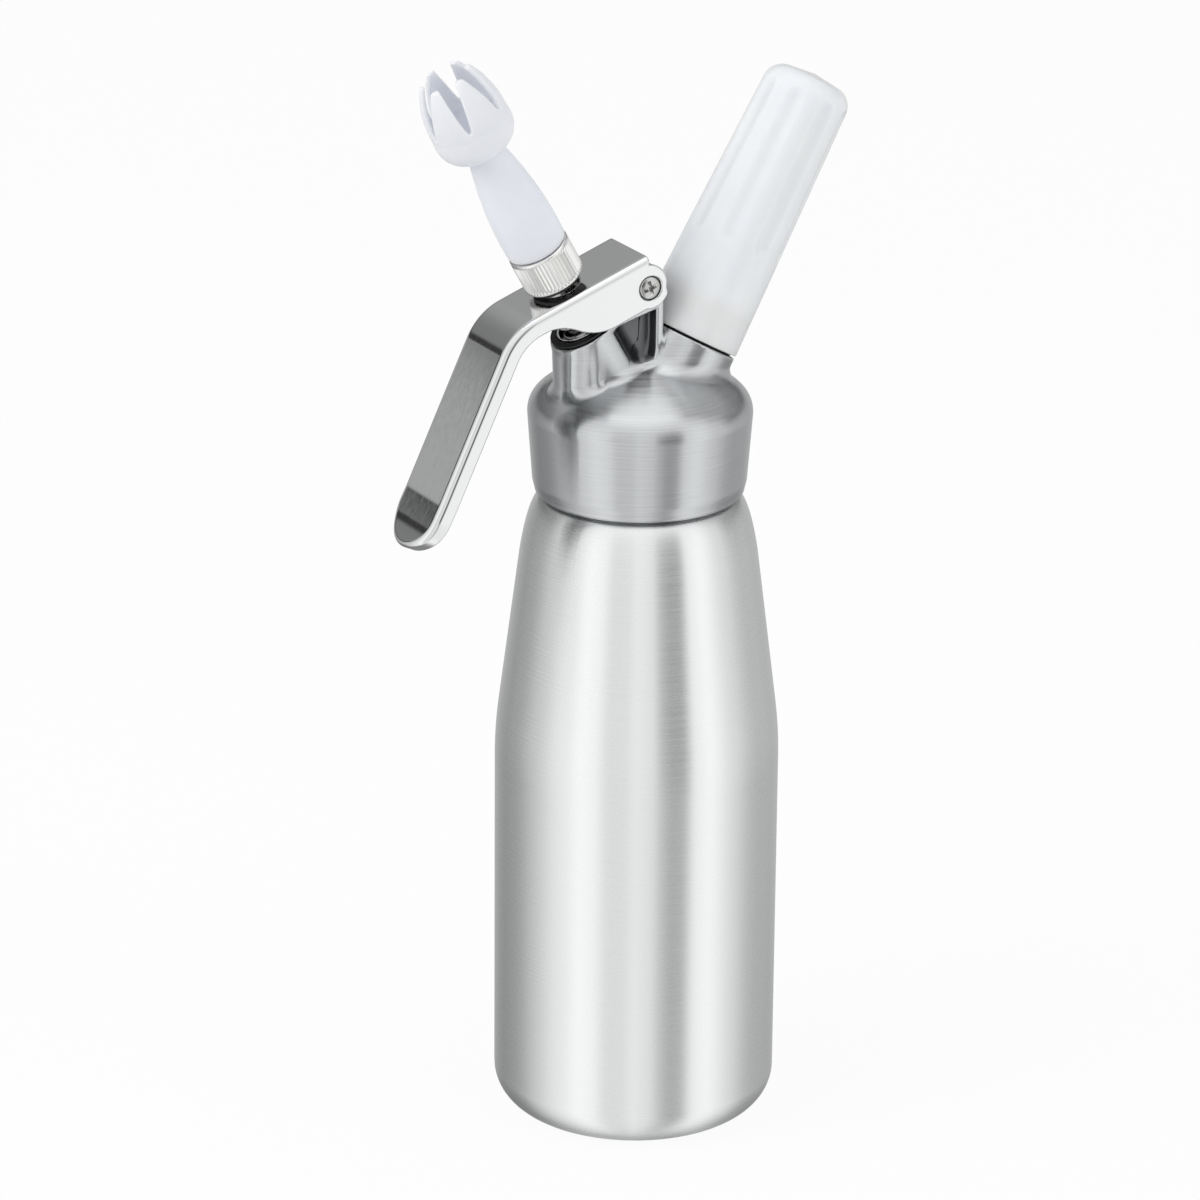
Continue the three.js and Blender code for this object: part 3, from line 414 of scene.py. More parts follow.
def lay_cast_skin_and_shade(tree):
    shader = tree.nodes["Principled BSDF"]
    place = add(tree, "ShaderNodeTexCoord").outputs["Object"]
    parts = add(tree, "ShaderNodeSeparateXYZ", {0: place}).outputs
    share = 1
    for axis, (start, end) in skin_and_shade_places.items():
        value = calculate(tree, "ABSOLUTE", parts[axis], 0) if axis == "Y" else parts[axis]
        step = spread(tree, value, start * MM, end * MM)
        share = calculate(tree, "MULTIPLY", step, share)
    # Mix in the skin's roughness, and its grey, which carries painted shade
    for socket, skin_and_shade, kind in (("Base Color", linear(skin_and_shade_colour), "RGBA"),
                               ("Roughness", skin_roughness, "FLOAT")):
        polished = shader.inputs[socket].links[0].from_socket
        tree.links.new(mix(tree, share, polished, skin_and_shade, kind), shader.inputs[socket])


lay_cast_skin_and_shade(head_finish.node_tree)

# %% [markdown]
# The lever is stainless steel strip, pressed to shape and polished on a wheel. It is nearly
# a mirror, with faint long waves from the press and fine wheel marks.
# %% Polished and turned steel


def polished_steel():
    made, tree, shader = finish("polished_stainless_steel", "#DADBDB", 1, 0.07)
    waves = streaks(tree, (60, 60, 60), detail=1)
    bump(tree, shader, waves, 0.02, strength=0.5)
    marks = streaks(tree, (900, 900, 120))
    rough_between(tree, shader, marks, 0.05, 0.11)
    return made


def turned_steel(name, hex_colour, low, high):
    made, tree, shader = finish(name, hex_colour, 1, low)
    marks = streaks(tree, (250, 250, 3500))
    rough_between(tree, shader, marks, low, high)
    return made


lever_finish = polished_steel()
steel_finish = turned_steel("turned_stainless_steel", "#C8C8C7", 0.16, 0.30)
screw_finish = turned_steel("screw_steel", "#BDBDBB", 0.10, 0.16)
knurl_finish = turned_steel("knurled_nickel_plate", "#E4E4E2", 0.16, 0.26)
chrome_finish = turned_steel("chrome_plate", "#E0E0E0", 0.04, 0.10)
charger_finish = turned_steel("zinc_plated_steel", "#BFC1C4", 0.22, 0.34)
insert_finish = turned_steel("turned_aluminium", "#C9CBCC", 0.25, 0.35)
brass_finish = turned_steel("turned_brass", "#C9A45C", 0.2, 0.3)

# %% [markdown]
# The decorating tip and the holder are moulded in a white plastic, the tip a little bluer
# and less glossy. Light enters such a plastic and softens the shading, which subsurface
# scattering gives. The skin has a faint orange peel from the mould. Seals are black rubber,
# and the head's gasket and the pivot's washers are clear silicone.
# %% Plastics and rubber


def moulded_plastic(name, dark, light, roughness, peel_mm, reach_mm):
    made, tree, shader = finish(name, light, 0, roughness, ior=1.49)
    shader.inputs["Subsurface Weight"].default_value = 0.8
    shader.inputs["Subsurface Radius"].default_value = (1, 1, 1.1)
    shader.inputs["Subsurface Scale"].default_value = reach_mm * MM
    cloud = streaks(tree, (90, 90, 90), detail=2)
    tint_between(tree, shader, cloud, dark, light)
    peel = streaks(tree, (700, 700, 700), detail=1)
    bump(tree, shader, peel, peel_mm, strength=0.4)
    return made


def rubber(name, hex_colour, roughness, **sockets):
    made, tree, shader = finish(name, hex_colour, 0, roughness, **sockets)
    grain = streaks(tree, (1500, 1500, 1500), detail=2)
    bump(tree, shader, grain, 0.02, strength=0.5)
    return made


tip_finish = moulded_plastic("moulded_tip_plastic", "#E4E7EF", "#EBEDF4", 0.5, 0.006, 4)
holder_finish = moulded_plastic("moulded_holder_plastic", "#E6E9EC", "#EDEFF1", 0.16, 0.004, 3)
rubber_finish = rubber("black_seal_rubber", "#17181A", 0.55)
# Near black steel for the adapter: painted shade for the dark gap under the collar
painted_shade_black = rubber("black_painted_shade_steel", "#1B1C1E", 0.4)
silicone_finish = rubber("clear_silicone", "#D5D8D8", 0.35, subsurface_weight=0.3)

# %% [markdown]
# Most pieces of a whipper are turned on a lathe or moulded round, so the next helper is a
# lathe. It takes half of a section as a list of radius and height, spins it round the axis,
# and breaks the sharp edges with a small bevel. Another helper lays a UV map called grain
# round the axis, which tells a brushed finish which way its rings run.
# %% A lathe
sharp_angle = 35
bevel_steps = 3


def only(piece):
    """Select one object and nothing else."""
    bpy.ops.object.select_all(action="DESELECT")
    piece.select_set(True)
    bpy.context.view_layer.objects.active = piece


def solid(name, points, edges, faces):
    """A new object from points in millimetres."""
    mesh = bpy.data.meshes.new(name)
    mesh.from_pydata((np.array(points) * MM).tolist(), edges, faces)
    return put(name, mesh)


def apply(piece, kind, **settings):
    """Add a modifier, set it and apply it."""
    only(piece)
    modifier = piece.modifiers.new(kind.title(), kind)
    for key, value in settings.items():
        setattr(modifier, key, value)
    bpy.ops.object.modifier_apply(modifier=modifier.name)


def smooth(piece, angle=sharp_angle):
    """Smooth shading that keeps large faces flat beside small bevels."""
    only(piece)
    bpy.ops.object.shade_smooth_by_angle(angle=angle * degree)
    apply(piece, "WEIGHTED_NORMAL", keep_sharp=True, weight=100)


def lay_grain(piece, place):
    """A UV map that runs round the axis of a place, in metres both ways."""
    mesh = piece.data
    back = place.inverted()
    local = np.array([back @ vertex.co for vertex in mesh.vertices])
    turn = np.arctan2(local[:, 1], local[:, 0])
    layer = mesh.uv_layers.new(name="grain")
    corners = np.empty(len(mesh.loops), dtype=np.int32)
    mesh.loops.foreach_get("vertex_index", corners)
    starts = np.empty(len(mesh.polygons), dtype=np.int32)
    mesh.polygons.foreach_get("loop_start", starts)
    face_of = np.searchsorted(starts, np.arange(len(corners)), side="right") - 1
    first = turn[corners[starts]][face_of]
    around = turn[corners] - first
    around = first + (around + math.pi) % (2 * math.pi) - math.pi
    reach = float(np.hypot(local[:, 0], local[:, 1]).max())
    uv = np.column_stack([around * reach, local[corners, 2]]).ravel()
    layer.uv.foreach_set("vector", uv)


def lathe(name, half_section, place=upright, steps=128, edge=0.2, carve=None):
    """Spin half a section round the axis of a place. A carve changes the radius after it."""
    count = len(half_section)
    is_ring = half_section[0][0] > 0
    edges = [(i, (i + 1) % count) for i in range(count if is_ring else count - 1)]
    piece = solid(name, [(radius, 0, height) for radius, height in half_section], edges, [])
    only(piece)
    bpy.ops.object.mode_set(mode="EDIT")
    bpy.ops.mesh.select_all(action="SELECT")
    bpy.ops.mesh.spin(steps=steps, angle=2 * math.pi, center=(0, 0, 0), axis=(0, 0, 1))
    bpy.ops.mesh.select_all(action="SELECT")
    bpy.ops.mesh.remove_doubles(threshold=0.002 * MM)
    bpy.ops.mesh.normals_make_consistent(inside=False)
    bpy.ops.object.mode_set(mode="OBJECT")
    if edge:
        apply(piece, "BEVEL", width=edge * MM, segments=bevel_steps, limit_method="ANGLE",
              angle_limit=sharp_angle * degree, use_clamp_overlap=True)
    if carve:
        carve_round(piece, carve)
    piece.data.transform(place)
    smooth(piece)
    return piece


def carve_round(piece, carve):
    """Move each point of a piece in or out, by a rule on its radius, turn and height."""
    for vertex in piece.data.vertices:
        radius = math.hypot(vertex.co.x, vertex.co.y)
        if radius > 0:
            turn = math.atan2(vertex.co.y, vertex.co.x)
            wanted = carve(radius / MM, turn, vertex.co.z / MM) * MM
            vertex.co.x *= wanted / radius
            vertex.co.y *= wanted / radius


def arc(radius_at, height_at, radius, start, end, steps=8):
    """Points of an arc, in radius and height, between two angles in degrees."""
    turns = np.linspace(start, end, steps + 1) * degree
    return [(radius_at + radius * math.cos(t), height_at + radius * math.sin(t)) for t in turns]


def bend(start, pull, end, steps=14):
    """Points of a quadratic curve, without its first point."""
    shares = np.linspace(0, 1, steps + 1)[1:]
    return [tuple((1 - t) ** 2 * a + 2 * t * (1 - t) * b + t * t * c
                  for a, b, c in zip(start, pull, end)) for t in shares]


def straight(start, end, steps):
    """Evenly spaced points of a line, without its first point."""
    return [tuple(a + (b - a) * i / steps for a, b in zip(start, end)) for i in range(1, steps + 1)]


def round_end(radius, foot, height, steps=16):
    """Points of a dome over a foot, up to the axis, without its first point."""
    turns = np.linspace(0, math.pi / 2, steps + 1)[1:-1]
    sides = [(radius * math.cos(t), foot + height * math.sin(t)) for t in turns]
    return sides + [(0, foot + height)]


bodies = {node: body for body, nodes in frame["record"]["behaviour"]["bodies"].items()
          for node in nodes}


def install(piece, node, material):
    """Give a piece its finish, and let it stand for a node and move with its body."""
    piece.data.materials.clear()
    piece.data.materials.append(material)
    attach(piece, bodies[node])
    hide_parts(node)
    size = [round(value / MM, 1) for value in piece.dimensions]
    print(piece.name, "stands for", node, size, "mm,", len(piece.data.polygons), "faces")


# %% [markdown]
# The bottle is one piece of aluminium, drawn deep, turned, and necked in at the top. Its
# base has a wide round corner, the side runs straight, leans in slowly, and then bends in
# to the neck. The neck carries the thread for the head, 4 mm for each turn.
# %% Bottle
mouth_height = 204
neck_radius = 24.9
thread_pitch = 4
thread_depth = 0.8
wall = 1.4
floor_wall = 2.4
mouth_radius = 22.7
bottle_radius = 40
base_corner = 11
taper_foot = 106
taper_arc = 123
taper_lean = 7.3
shoulder_foot = 167


def thread_wave(turn, height, pitch, low, high):
    """How deep a thread is here, from 0 to 1, fading out at both of its ends."""
    phase = (height / pitch - turn / (2 * math.pi)) % 1
    groove = np.clip(1.6 - np.abs(phase - 0.5) * 6, 0, 1)
    fade = np.clip(np.minimum(height - low, high - height) / (0.4 * pitch), 0, 1)
    return groove * fade


def threaded(near, far, depth, pitch, low, high, start=0):
    """A rule that cuts a thread this deep into the walls between two radii."""
    def carve(radius, turn, height):
        if near < radius < far and height >= start:
            return radius - depth * thread_wave(turn, height, pitch, low, high)
        return radius

    return carve


def bottle_side(inset, floor, neck, neck_foot):
    """Base corner, straight side, taper and shoulder, moved in by a wall."""
    corner_height = floor + base_corner - inset
    corner = arc(bottle_radius - base_corner, corner_height, base_corner - inset, -90, 0, 12)
    taper = arc(bottle_radius - taper_arc, taper_foot, taper_arc - inset, 0, taper_lean, 8)
    top = taper[-1]
    end = (top[0] - (shoulder_foot - top[1]) * math.tan(taper_lean * degree), shoulder_foot)
    side = straight((bottle_radius - inset, corner_height), taper[0], 6)[:-1]
    middle = straight(top, end, 4)
    shoulder = bend(end, (30.9 - inset, 181.6 - inset), (neck, neck_foot), 16)
    return corner + side + taper + middle + shoulder


def bottle_section():
    neck = straight((neck_radius, 185.2), (neck_radius, 203.4), 52)
    outer = [(0, 0), *bottle_side(0, 0, 27.6, 183.6), (25.7, 184.0), (neck_radius, 185.2), *neck,
             (24.3, mouth_height)]
    inner = [(0, floor_wall), *bottle_side(wall, floor_wall, mouth_radius, 182.2),
             (mouth_radius, 203.4), (23.3, mouth_height)]
    return outer + inner[::-1]


bottle = lathe("bottle_shell", bottle_section(), edge=0, carve=threaded(
    neck_radius - 0.1, math.inf, thread_depth, thread_pitch, 187, 203))
lay_grain(bottle, upright)
install(bottle, "bottle", bottle_finish)

# %% [markdown]
# Four pieces have free forms that no lathe gives: the cast head, the pressed lever, the
# moulded tip and the holder. Each is first written as a distance: how far a point is from
# the surface, less than zero inside. Two forms can then be joined with a fillet, or cut
# with a rounded edge, as a mould and a polishing wheel leave them. A fine grid finds where
# the distance is zero, and every point is then moved exactly onto the surface.
# %% Distances and fillets


def join(a, b, radius):
    """Both forms, with a fillet between them."""
    near = np.hypot(np.maximum(radius - a, 0), np.maximum(radius - b, 0))
    return np.maximum(radius, np.minimum(a, b)) - near


def meet(a, b, radius):
    """What is inside both forms, with its edge rounded."""
    near = np.hypot(np.maximum(radius + a, 0), np.maximum(radius + b, 0))
    return np.minimum(-radius, np.maximum(a, b)) + near


def cut(a, b, radius):
    """The first form without the second, with its edge rounded."""
    return meet(a, -b, radius)


def outline(points, box, step=0.125):
    """Signed distance from a closed outline, read from a fine table over a box."""
    corners = np.array(points, dtype=float)
    left, right, bottom, top = box
    u = np.arange(left, right + 2 * step, step)[:, None]
    v = np.arange(bottom, top + 2 * step, step)[None, :]
    best = np.full((u.size, v.size), 1e9)
    inside = np.zeros(best.shape, dtype=bool)
    for (au, av), (bu, bv) in zip(corners, np.roll(corners, -1, axis=0)):
        eu, ev = bu - au, bv - av
        wu, wv = u - au, v - av
        share = np.clip((wu * eu + wv * ev) / (eu * eu + ev * ev + 1e-12), 0, 1)
        best = np.minimum(best, (wu - share * eu) ** 2 + (wv - share * ev) ** 2)
        if av != bv:
            inside ^= ((av > v) != (bv > v)) & (u < au + (v - av) * eu / ev)
    table = np.where(inside, -1, 1) * np.sqrt(best)

    def distance(across, up):
        i = np.clip((across - left) / step, 0, table.shape[0] - 1.001)
        j = np.clip((up - bottom) / step, 0, table.shape[1] - 1.001)
        low_i, low_j = i.astype(int), j.astype(int)
        s, t = i - low_i, j - low_j
        low = table[low_i, low_j] * (1 - s) + table[low_i + 1, low_j] * s
        high = table[low_i, low_j + 1] * (1 - s) + table[low_i + 1, low_j + 1] * s
        return low * (1 - t) + high * t

    return distance


def turned(points, box):
    """Signed distance from a half section spun round the axis, for radius and height."""
    mirrored = [(-radius, height) for radius, height in points[::-1] if radius > 0]
    return outline(list(points) + mirrored, box)


# %% [markdown]
# The grid's cells that the surface runs through get one point each, in the middle of where
# it cuts their edges, and each cut edge gives one face between its four cells. The points
# are then moved along the slope of the distance until it is zero, and the slope also gives
# the exact direction that the surface faces, which keeps reflections smooth.
# %% From a distance to a mesh


def net(values):
    """Points in grid steps, and faces of four points, of the surface where values are 0."""
    inside = values < 0
    cells, places, backwards = [], [], []
    for axis in range(3):
        ahead, behind = [slice(None)] * 3, [slice(None)] * 3
        ahead[axis], behind[axis] = slice(1, None), slice(None, -1)
        cuts = np.argwhere(inside[tuple(ahead)] != inside[tuple(behind)])
        after = cuts.copy()
        after[:, axis] += 1
        start, end = values[tuple(cuts.T)], values[tuple(after.T)]
        place = cuts.astype(float)
        place[:, axis] += start / (start - end)
        sides = [other for other in range(3) if other != axis]
        for steps in ((1, 1), (0, 1), (0, 0), (1, 0)):
            cell = cuts.copy()
            cell[:, sides] -= steps
            cells.append(np.ravel_multi_index(cell.T, values.shape))
            places.append(place)
        backwards.append((start < 0) == (axis == 1))
    _, point = np.unique(np.concatenate(cells), return_inverse=True)
    count = np.bincount(point)
    places = np.concatenate(places)
    points = np.stack([np.bincount(point, places[:, k]) / count for k in range(3)], axis=1)
    faces, used = [], 0
    for backward in backwards:
        ring = point[used:used + 4 * len(backward)].reshape(4, -1).T.copy()
        ring[backward] = ring[backward][:, ::-1]
        faces.append(ring)
        used += 4 * len(backward)
    return points, np.concatenate(faces)


def slope(field, points, step=0.05):
    """The direction in which the distance grows, at some points."""
    ways = []
    for axis in range(3):
        shift = np.zeros(3)
        shift[axis] = step
        ways.append(field(*(points + shift).T) - field(*(points - shift).T))
    return np.stack(ways, axis=1) / (2 * step)


def sampled(field, lines, block=8):
    """The distance on a grid. Blocks far from the surface keep one rough value."""
    reach = 0.5 * block * (lines[0][1] - lines[0][0]) * math.sqrt(3)
    middles = [line[::block] + reach / math.sqrt(3) for line in lines]
    rough = field(*(axis.ravel() for axis in np.meshgrid(*middles, indexing="ij")))
    values = rough.reshape([len(middle) for middle in middles])
    for axis in range(3):
        values = np.repeat(values, block, axis=axis)
    values = values[tuple(slice(0, len(line)) for line in lines)]
    near = np.argwhere(np.abs(values) < 1.3 * reach)
    places = [line[near[:, axis]] for axis, line in enumerate(lines)]
    values[tuple(near.T)] = field(*places)
    return values


def settled(values):
    """The grid without squares whose corners alternate: four faces would share an edge."""
    steps = np.array([(0, 0), (0, 1), (1, 1), (1, 0)])
    for _ in range(20):
        turned_over = 0
        for axes in ((0, 1), (0, 2), (1, 2)):
            view = np.moveaxis(values, axes, (0, 1))
            round_it = [view[:-1, :-1], view[:-1, 1:], view[1:, 1:], view[1:, :-1]]
            a, b, c, d = (corner < 0 for corner in round_it)
            mixed = (a == c) & (b == d) & (a != b)
            outside = [np.where(corner < 0, np.inf, corner)[mixed] for corner in round_it]
            nearest = np.array(outside).argmin(0)
            places = np.argwhere(mixed)
            places[:, :2] += steps[nearest]
            places = tuple(np.unique(places, axis=0).T)
            view[places] = -view[places]
            turned_over += len(places[0])
        if not turned_over:
            break
    return values


def cast(name, field, low, high, cell, place=upright):
    """Make the piece whose signed distance is given, in millimetres, within a box."""
    lines = [np.arange(a - 2 * cell, b + 3 * cell, cell) for a, b in zip(low, high)]
    points, faces = net(settled(sampled(field, lines)))
    points = points * cell + np.array([line[0] for line in lines])
    for _ in range(2):
        ways = slope(field, points)
        size = np.maximum((ways ** 2).sum(1), 0.2)
        for _ in range(2):
            off = np.clip(field(*points.T) / size, -cell, cell)
            points -= off[:, None] * ways
    ways = slope(field, points)
    ways /= np.maximum(np.linalg.norm(ways, axis=1), 1e-9)[:, None]
    piece = solid(name, points, [], faces.tolist())
    piece.data.polygons.foreach_set("use_smooth", [True] * len(faces))
    piece.data.transform(place)
    turned_ways = ways @ np.array(place.to_3x3()).T
    piece.data.normals_split_custom_set_from_vertices(turned_ways.tolist())
    return piece


# %% [markdown]
# The head is die-cast aluminium, then turned and bored: a domed cap with a rolled lower
# rim, a leaning valve housing whose flank runs down into the dome, a bracket for the
# lever's pivot with a shallow pocket on each face, and the charger port with its threaded
# stud. Fillets join the forms, as a die needs. The small raised pad in each pocket is bare.
# %% Head
pivot_x, pivot_z = -3.5, 246.4
ear_radius = 6
rim_along = 38.1
port_along = 30
stud_radius = 10.4
stud_top = 40
stud_pitch = 1.5
housing_radius = 9.5
port_radius = 14.4
bracket_half = 8.5
pocket_half = 4.9
pad_half = 5.5
pivot_bore = 3.3
bore_edge = 0.4
bracket_edge = 0.8
port_fillet, housing_fillet, bracket_fillet = 3, 2.5, 1.6

# Bosses and bores on the two axes: radius, and how far along it they start and end
housing_foot, port_foot = 15.5, 14
seat_boss, gas_boss = (8, 15.5, 23), (6.5, 16.5, 21.5)
stem_bores = [(4.4, 10), (7, 27)]
gas_bores = [(1.5, 12), (3.2, 21.5), (6, 27.5)]

# The housing's flank is an oval column that leans, and widens a little, as it rises
flank_foot, flank_height = 214, 20.3
flank_half, flank_widening = 8.3, 0.6
flank_centre, flank_lean = -17.9, 0.69


def around_axis(tilt, x, y, z):
    """How far along, across and away from a leaning axis a place lies."""
    sine, cosine = math.sin(tilt), math.cos(tilt)
    across = cosine * x - sine * (z - axis_cross)
    return cosine * (z - axis_cross) + sine * x, across, np.hypot(across, y)


def nozzle_point(along, across):
    sine, cosine = math.sin(nozzle_tilt), math.cos(nozzle_tilt)
    return across * cosine - along * sine, axis_cross + along * cosine + across * sine


def bar(beside, along, radius, low, high=np.inf):
    """A round bar of this radius, cut off square at its ends."""
    return np.maximum(beside - radius, np.maximum(low - along, along - high))


def cap_section():
    dome_edge, skirt_edge = (26, 215.6), (31.2, 207.6)
    return [(0, 184.6), (27.7, 184.6), *arc(27.7, 186.1, 1.5, -90, 0, 8), (29.8, 188.6),
            *straight((29.8, 188.6), skirt_edge, 4),
            *bend(skirt_edge, (31.3, 212.6), dome_edge, 24),
            *bend(dome_edge, (15, 222.4), (0, 225.5), 24)]


def hollow_section():
    return [(0, 180), (25.3, 180), (25.3, 206.8), (20.6, 206.8), (20.6, 209.6),
            *bend((20.6, 209.6), (13.7, 216.6), (0, 218), 16)]


def bracket_outline():
    left, top = -19.8, 37.6
    corner = (left + top * math.sin(nozzle_tilt)) / math.cos(nozzle_tilt)
    return [(-18.1, 212), nozzle_point(top, corner), nozzle_point(top, housing_radius),
            *arc(pivot_x, pivot_z, ear_radius, 180, 0, 32), (pivot_x + ear_radius, 212)]


def pocket_outline():
    foot = nozzle_point(24.4, 3.8)
    return [foot, (-0.1, foot[1] + 0.6), (-0.1, 239.2), nozzle_point(37, 3.8)]


pad_outline = [(-8.6, 228.4), (-7.3, 227.7), (-3.9, 230.2), (-3.3, 239.4), (-14, 238)]
round_box, side_box = (0, 48, 180, 258), (-36, 36, 180, 258)
cap_form = turned(cap_section(), round_box)
hollow_form = turned(hollow_section(), round_box)
bracket_form = outline(bracket_outline(), side_box)
pocket_form = outline(pocket_outline(), side_box)
pad_form = outline(pad_outline, side_box)


def housing_form(x, y, z):
    """The tube of the valve housing, and its flank down to the cap."""
    rise, _, beside = around_axis(-nozzle_tilt, x, y, z)
    tube = bar(beside, rise, housing_radius, housing_foot)
    share = (z - flank_foot) / flank_height
    deep = flank_half + flank_widening * np.clip(share, 0, 1)
    column = np.hypot((x - flank_centre + flank_lean * share) / flank_half, y / deep) - 1
    flank = np.maximum(column * flank_half, flank_foot - 2 - z)
    return meet(join(tube, flank, 1), rise - rim_along, 0.5)


def outside_form(x, y, z):
    """The casting's outside: cap, charger port, valve housing and bracket."""
    along, _, beside_pin = around_axis(charger_tilt, x, y, z)
    rise, _, beside_stem = around_axis(-nozzle_tilt, x, y, z)
    port = meet(bar(beside_pin, along, port_radius, port_foot), along - port_along, 0.6)
    bracket = meet(bracket_form(x, z), np.abs(y) - bracket_half, bracket_edge)
    pocket = meet(pocket_form(x, z), pocket_half - np.abs(y), bracket_edge)
    bracket = cut(bracket, pocket, 0.6)
    pad = np.maximum(meet(pad_form(x, z), np.abs(y) - pad_half, 0.3), pocket_form(x, z) - 1)
    bracket = join(bracket, pad, 0.2)
    whole = join(cap_form(np.hypot(x, y), z), port, port_fillet)
    whole = join(whole, housing_form(x, y, z), housing_fillet)
    whole = join(whole, bracket, bracket_fillet)
    over_port = bar(beside_pin, along, port_radius + 0.8, port_along)
    over_rim = bar(beside_stem, rise, housing_radius + 0.4, rim_along)
    return np.maximum(np.maximum(whole, -over_port), -over_rim)


def stud_form(y, along, across, beside):
    """The threaded stud on the port, with a thread of soft waves."""
    phase = 2 * math.pi * along / stud_pitch - np.arctan2(y, across)
    fade = np.clip(np.minimum(along - 31, 39.6 - along) / 0.6, 0, 1)
    groove = 0.3 * (1 - np.cos(phase)) * fade
    stud = meet(beside - stud_radius + groove, along - stud_top, 0.5)
    return np.maximum(stud, 24 - along)


def head_form(x, y, z):
    radius, turn = np.hypot(x, y), np.arctan2(y, x)
    groove = thread_depth * thread_wave(turn, z, thread_pitch, 187, 204)
    hollow = hollow_form(np.maximum(radius - groove, 0), z)
    whole = cut(outside_form(x, y, z), hollow, bore_edge)
    rise, _, beside_stem = around_axis(-nozzle_tilt, x, y, z)
    along, across, beside_pin = around_axis(charger_tilt, x, y, z)
    whole = join(whole, bar(beside_stem, rise, *seat_boss), 0.5)
    whole = join(whole, bar(beside_pin, along, *gas_boss), 0.5)
    whole = np.minimum(whole, stud_form(y, along, across, beside_pin))
    for beside, far, bores in ((beside_stem, rise, stem_bores), (beside_pin, along, gas_bores)):
        drilled = [bar(beside, far, *bore) for bore in bores]
        whole = cut(whole, np.minimum.reduce(drilled), bore_edge)
    return cut(whole, np.hypot(x - pivot_x, z - pivot_z) - pivot_bore, bore_edge)


head = cast("head_casting", head_form, (-33, -32, 184), (32, 32, 253), 0.54)
lay_grain(head, upright)
install(head, "head", head_finish)

# %% [markdown]
# The lever is one strip of stainless steel, 1.5 mm thick, pressed into a channel that is
# open below. Its plate slopes down to a bend, and the handle hangs from there and ends in
# a half round. Because a press keeps the strip's thickness, the form below is the space
# between an outer surface and the same surface 1.5 mm further in, trimmed along its edge.
# %% Lever
lever_half = 11.1
lever_wall = 1.5
lever_corner = 1.9
plate_slope = 20 * degree
handle_lean = 25.4 * degree
plate_offset = 8.6
plate_length = 41.9
handle_length = 66
handle_depth = 5.2
flare_length = 16
flare_lean = 0.034
flare_start = 1.5
flare_curve = 0.0225
bend_radius = 18
cheek_edge = 0.55
ear_hole = 3.45
stem_cutout = 5.7


def plate_point(down, depth):
    drop = plate_offset - depth
    return (pivot_x - drop * math.sin(plate_slope) - down * math.cos(plate_slope),
            pivot_z + drop * math.cos(plate_slope) - down * math.sin(plate_slope))


def handle_point(down, depth):
    corner = plate_point(plate_length, 0)
    return (corner[0] - down * math.sin(handle_lean) + depth * math.cos(handle_lean),
            corner[1] - down * math.cos(handle_lean) - depth * math.sin(handle_lean))


def lever_bend(depth, steps):
    turn = 90 - (plate_slope + handle_lean) / degree
    reach = bend_radius * math.tan(turn * degree / 2)
    centre = plate_point(plate_length - reach, bend_radius)
    start = 90 + plate_slope / degree
    return arc(*centre, bend_radius - depth, start, start + turn, steps), centre


def flare_at(down):
    """How far the handle's face stands out from its straight line, this far down it."""
    past = np.maximum(down - (handle_length - flare_length), 0)
    ledge = flare_lean * np.where(past < flare_start, past ** 2 / (2 * flare_start),
                                  past - flare_start / 2)
    return ledge + flare_curve * np.maximum(past - flare_length / 2, 0) ** 2


def flare_tilt(down):
    """How steeply it stands out there."""
    past = np.maximum(down - (handle_length - flare_length), 0)
    return (flare_lean * np.minimum(past / flare_start, 1)
            + 2 * flare_curve * np.maximum(past - flare_length / 2, 0))


def cheek_trim():
    """Everything that is kept of the channel, seen from the side."""
    flat_end, ramp = plate_point(12.8, 13.9), plate_point(23.2, 10.1)
    waist = plate_point(33, handle_depth)
    under = lever_bend(handle_depth, 12)[0][::-1]
    downs = np.linspace(handle_length + 8, handle_length - flare_length, 20)
    flare = [handle_point(down, handle_depth - flare_at(down)) for down in downs]
    far = 30
    end = -(pivot_x - 0.5 - plate_point(0, 0)[0]) / math.cos(plate_slope)
    tip = plate_point(end, 0)
    return outline([
        (tip[0], tip[1] + far), (tip[0] - 120, tip[1] + far), handle_point(100, -far), *flare,
        *under, waist, *bend(waist, plate_point(28, handle_depth), ramp, 10),
        *bend(ramp, plate_point(18.6, 13.9), flat_end, 10),
        *arc(pivot_x, pivot_z, ear_radius, -100, -20, 20),
        *arc(pivot_x - 0.5, pivot_z + 0.9, ear_radius - 0.2, -10, 88, 30)], (-78, 6, 164, 260))


def down_handle(x, z, start):
    """How far down the handle's line a place lies from a start."""
    return -((x - start[0]) * math.sin(handle_lean) + (z - start[1]) * math.cos(handle_lean))


def channel_depth(x, z):
    """How far outside the channel's outer face a place is, seen from the side."""
    _, centre = lever_bend(0, 1)
    px, pz = -math.sin(plate_slope), math.cos(plate_slope)
    hx, hz = -math.cos(handle_lean), math.sin(handle_lean)
    u, v = x - centre[0], z - centre[1]
    down = down_handle(x, z, plate_point(plate_length, 0))
    over_plate = px * u + pz * v - bend_radius
    over_handle = (hx * u + hz * v - bend_radius - flare_at(down)) / np.sqrt(
        1 + flare_tilt(down) ** 2)
    over_bend = np.hypot(u, v) - bend_radius
    beyond_plate = px * v - pz * u > 0
    before_handle = hx * v - hz * u < 0
    straight_parts = np.where(beyond_plate, over_handle, over_plate)
    return np.where(beyond_plate & before_handle, over_bend, straight_parts)


trim_form = cheek_trim()


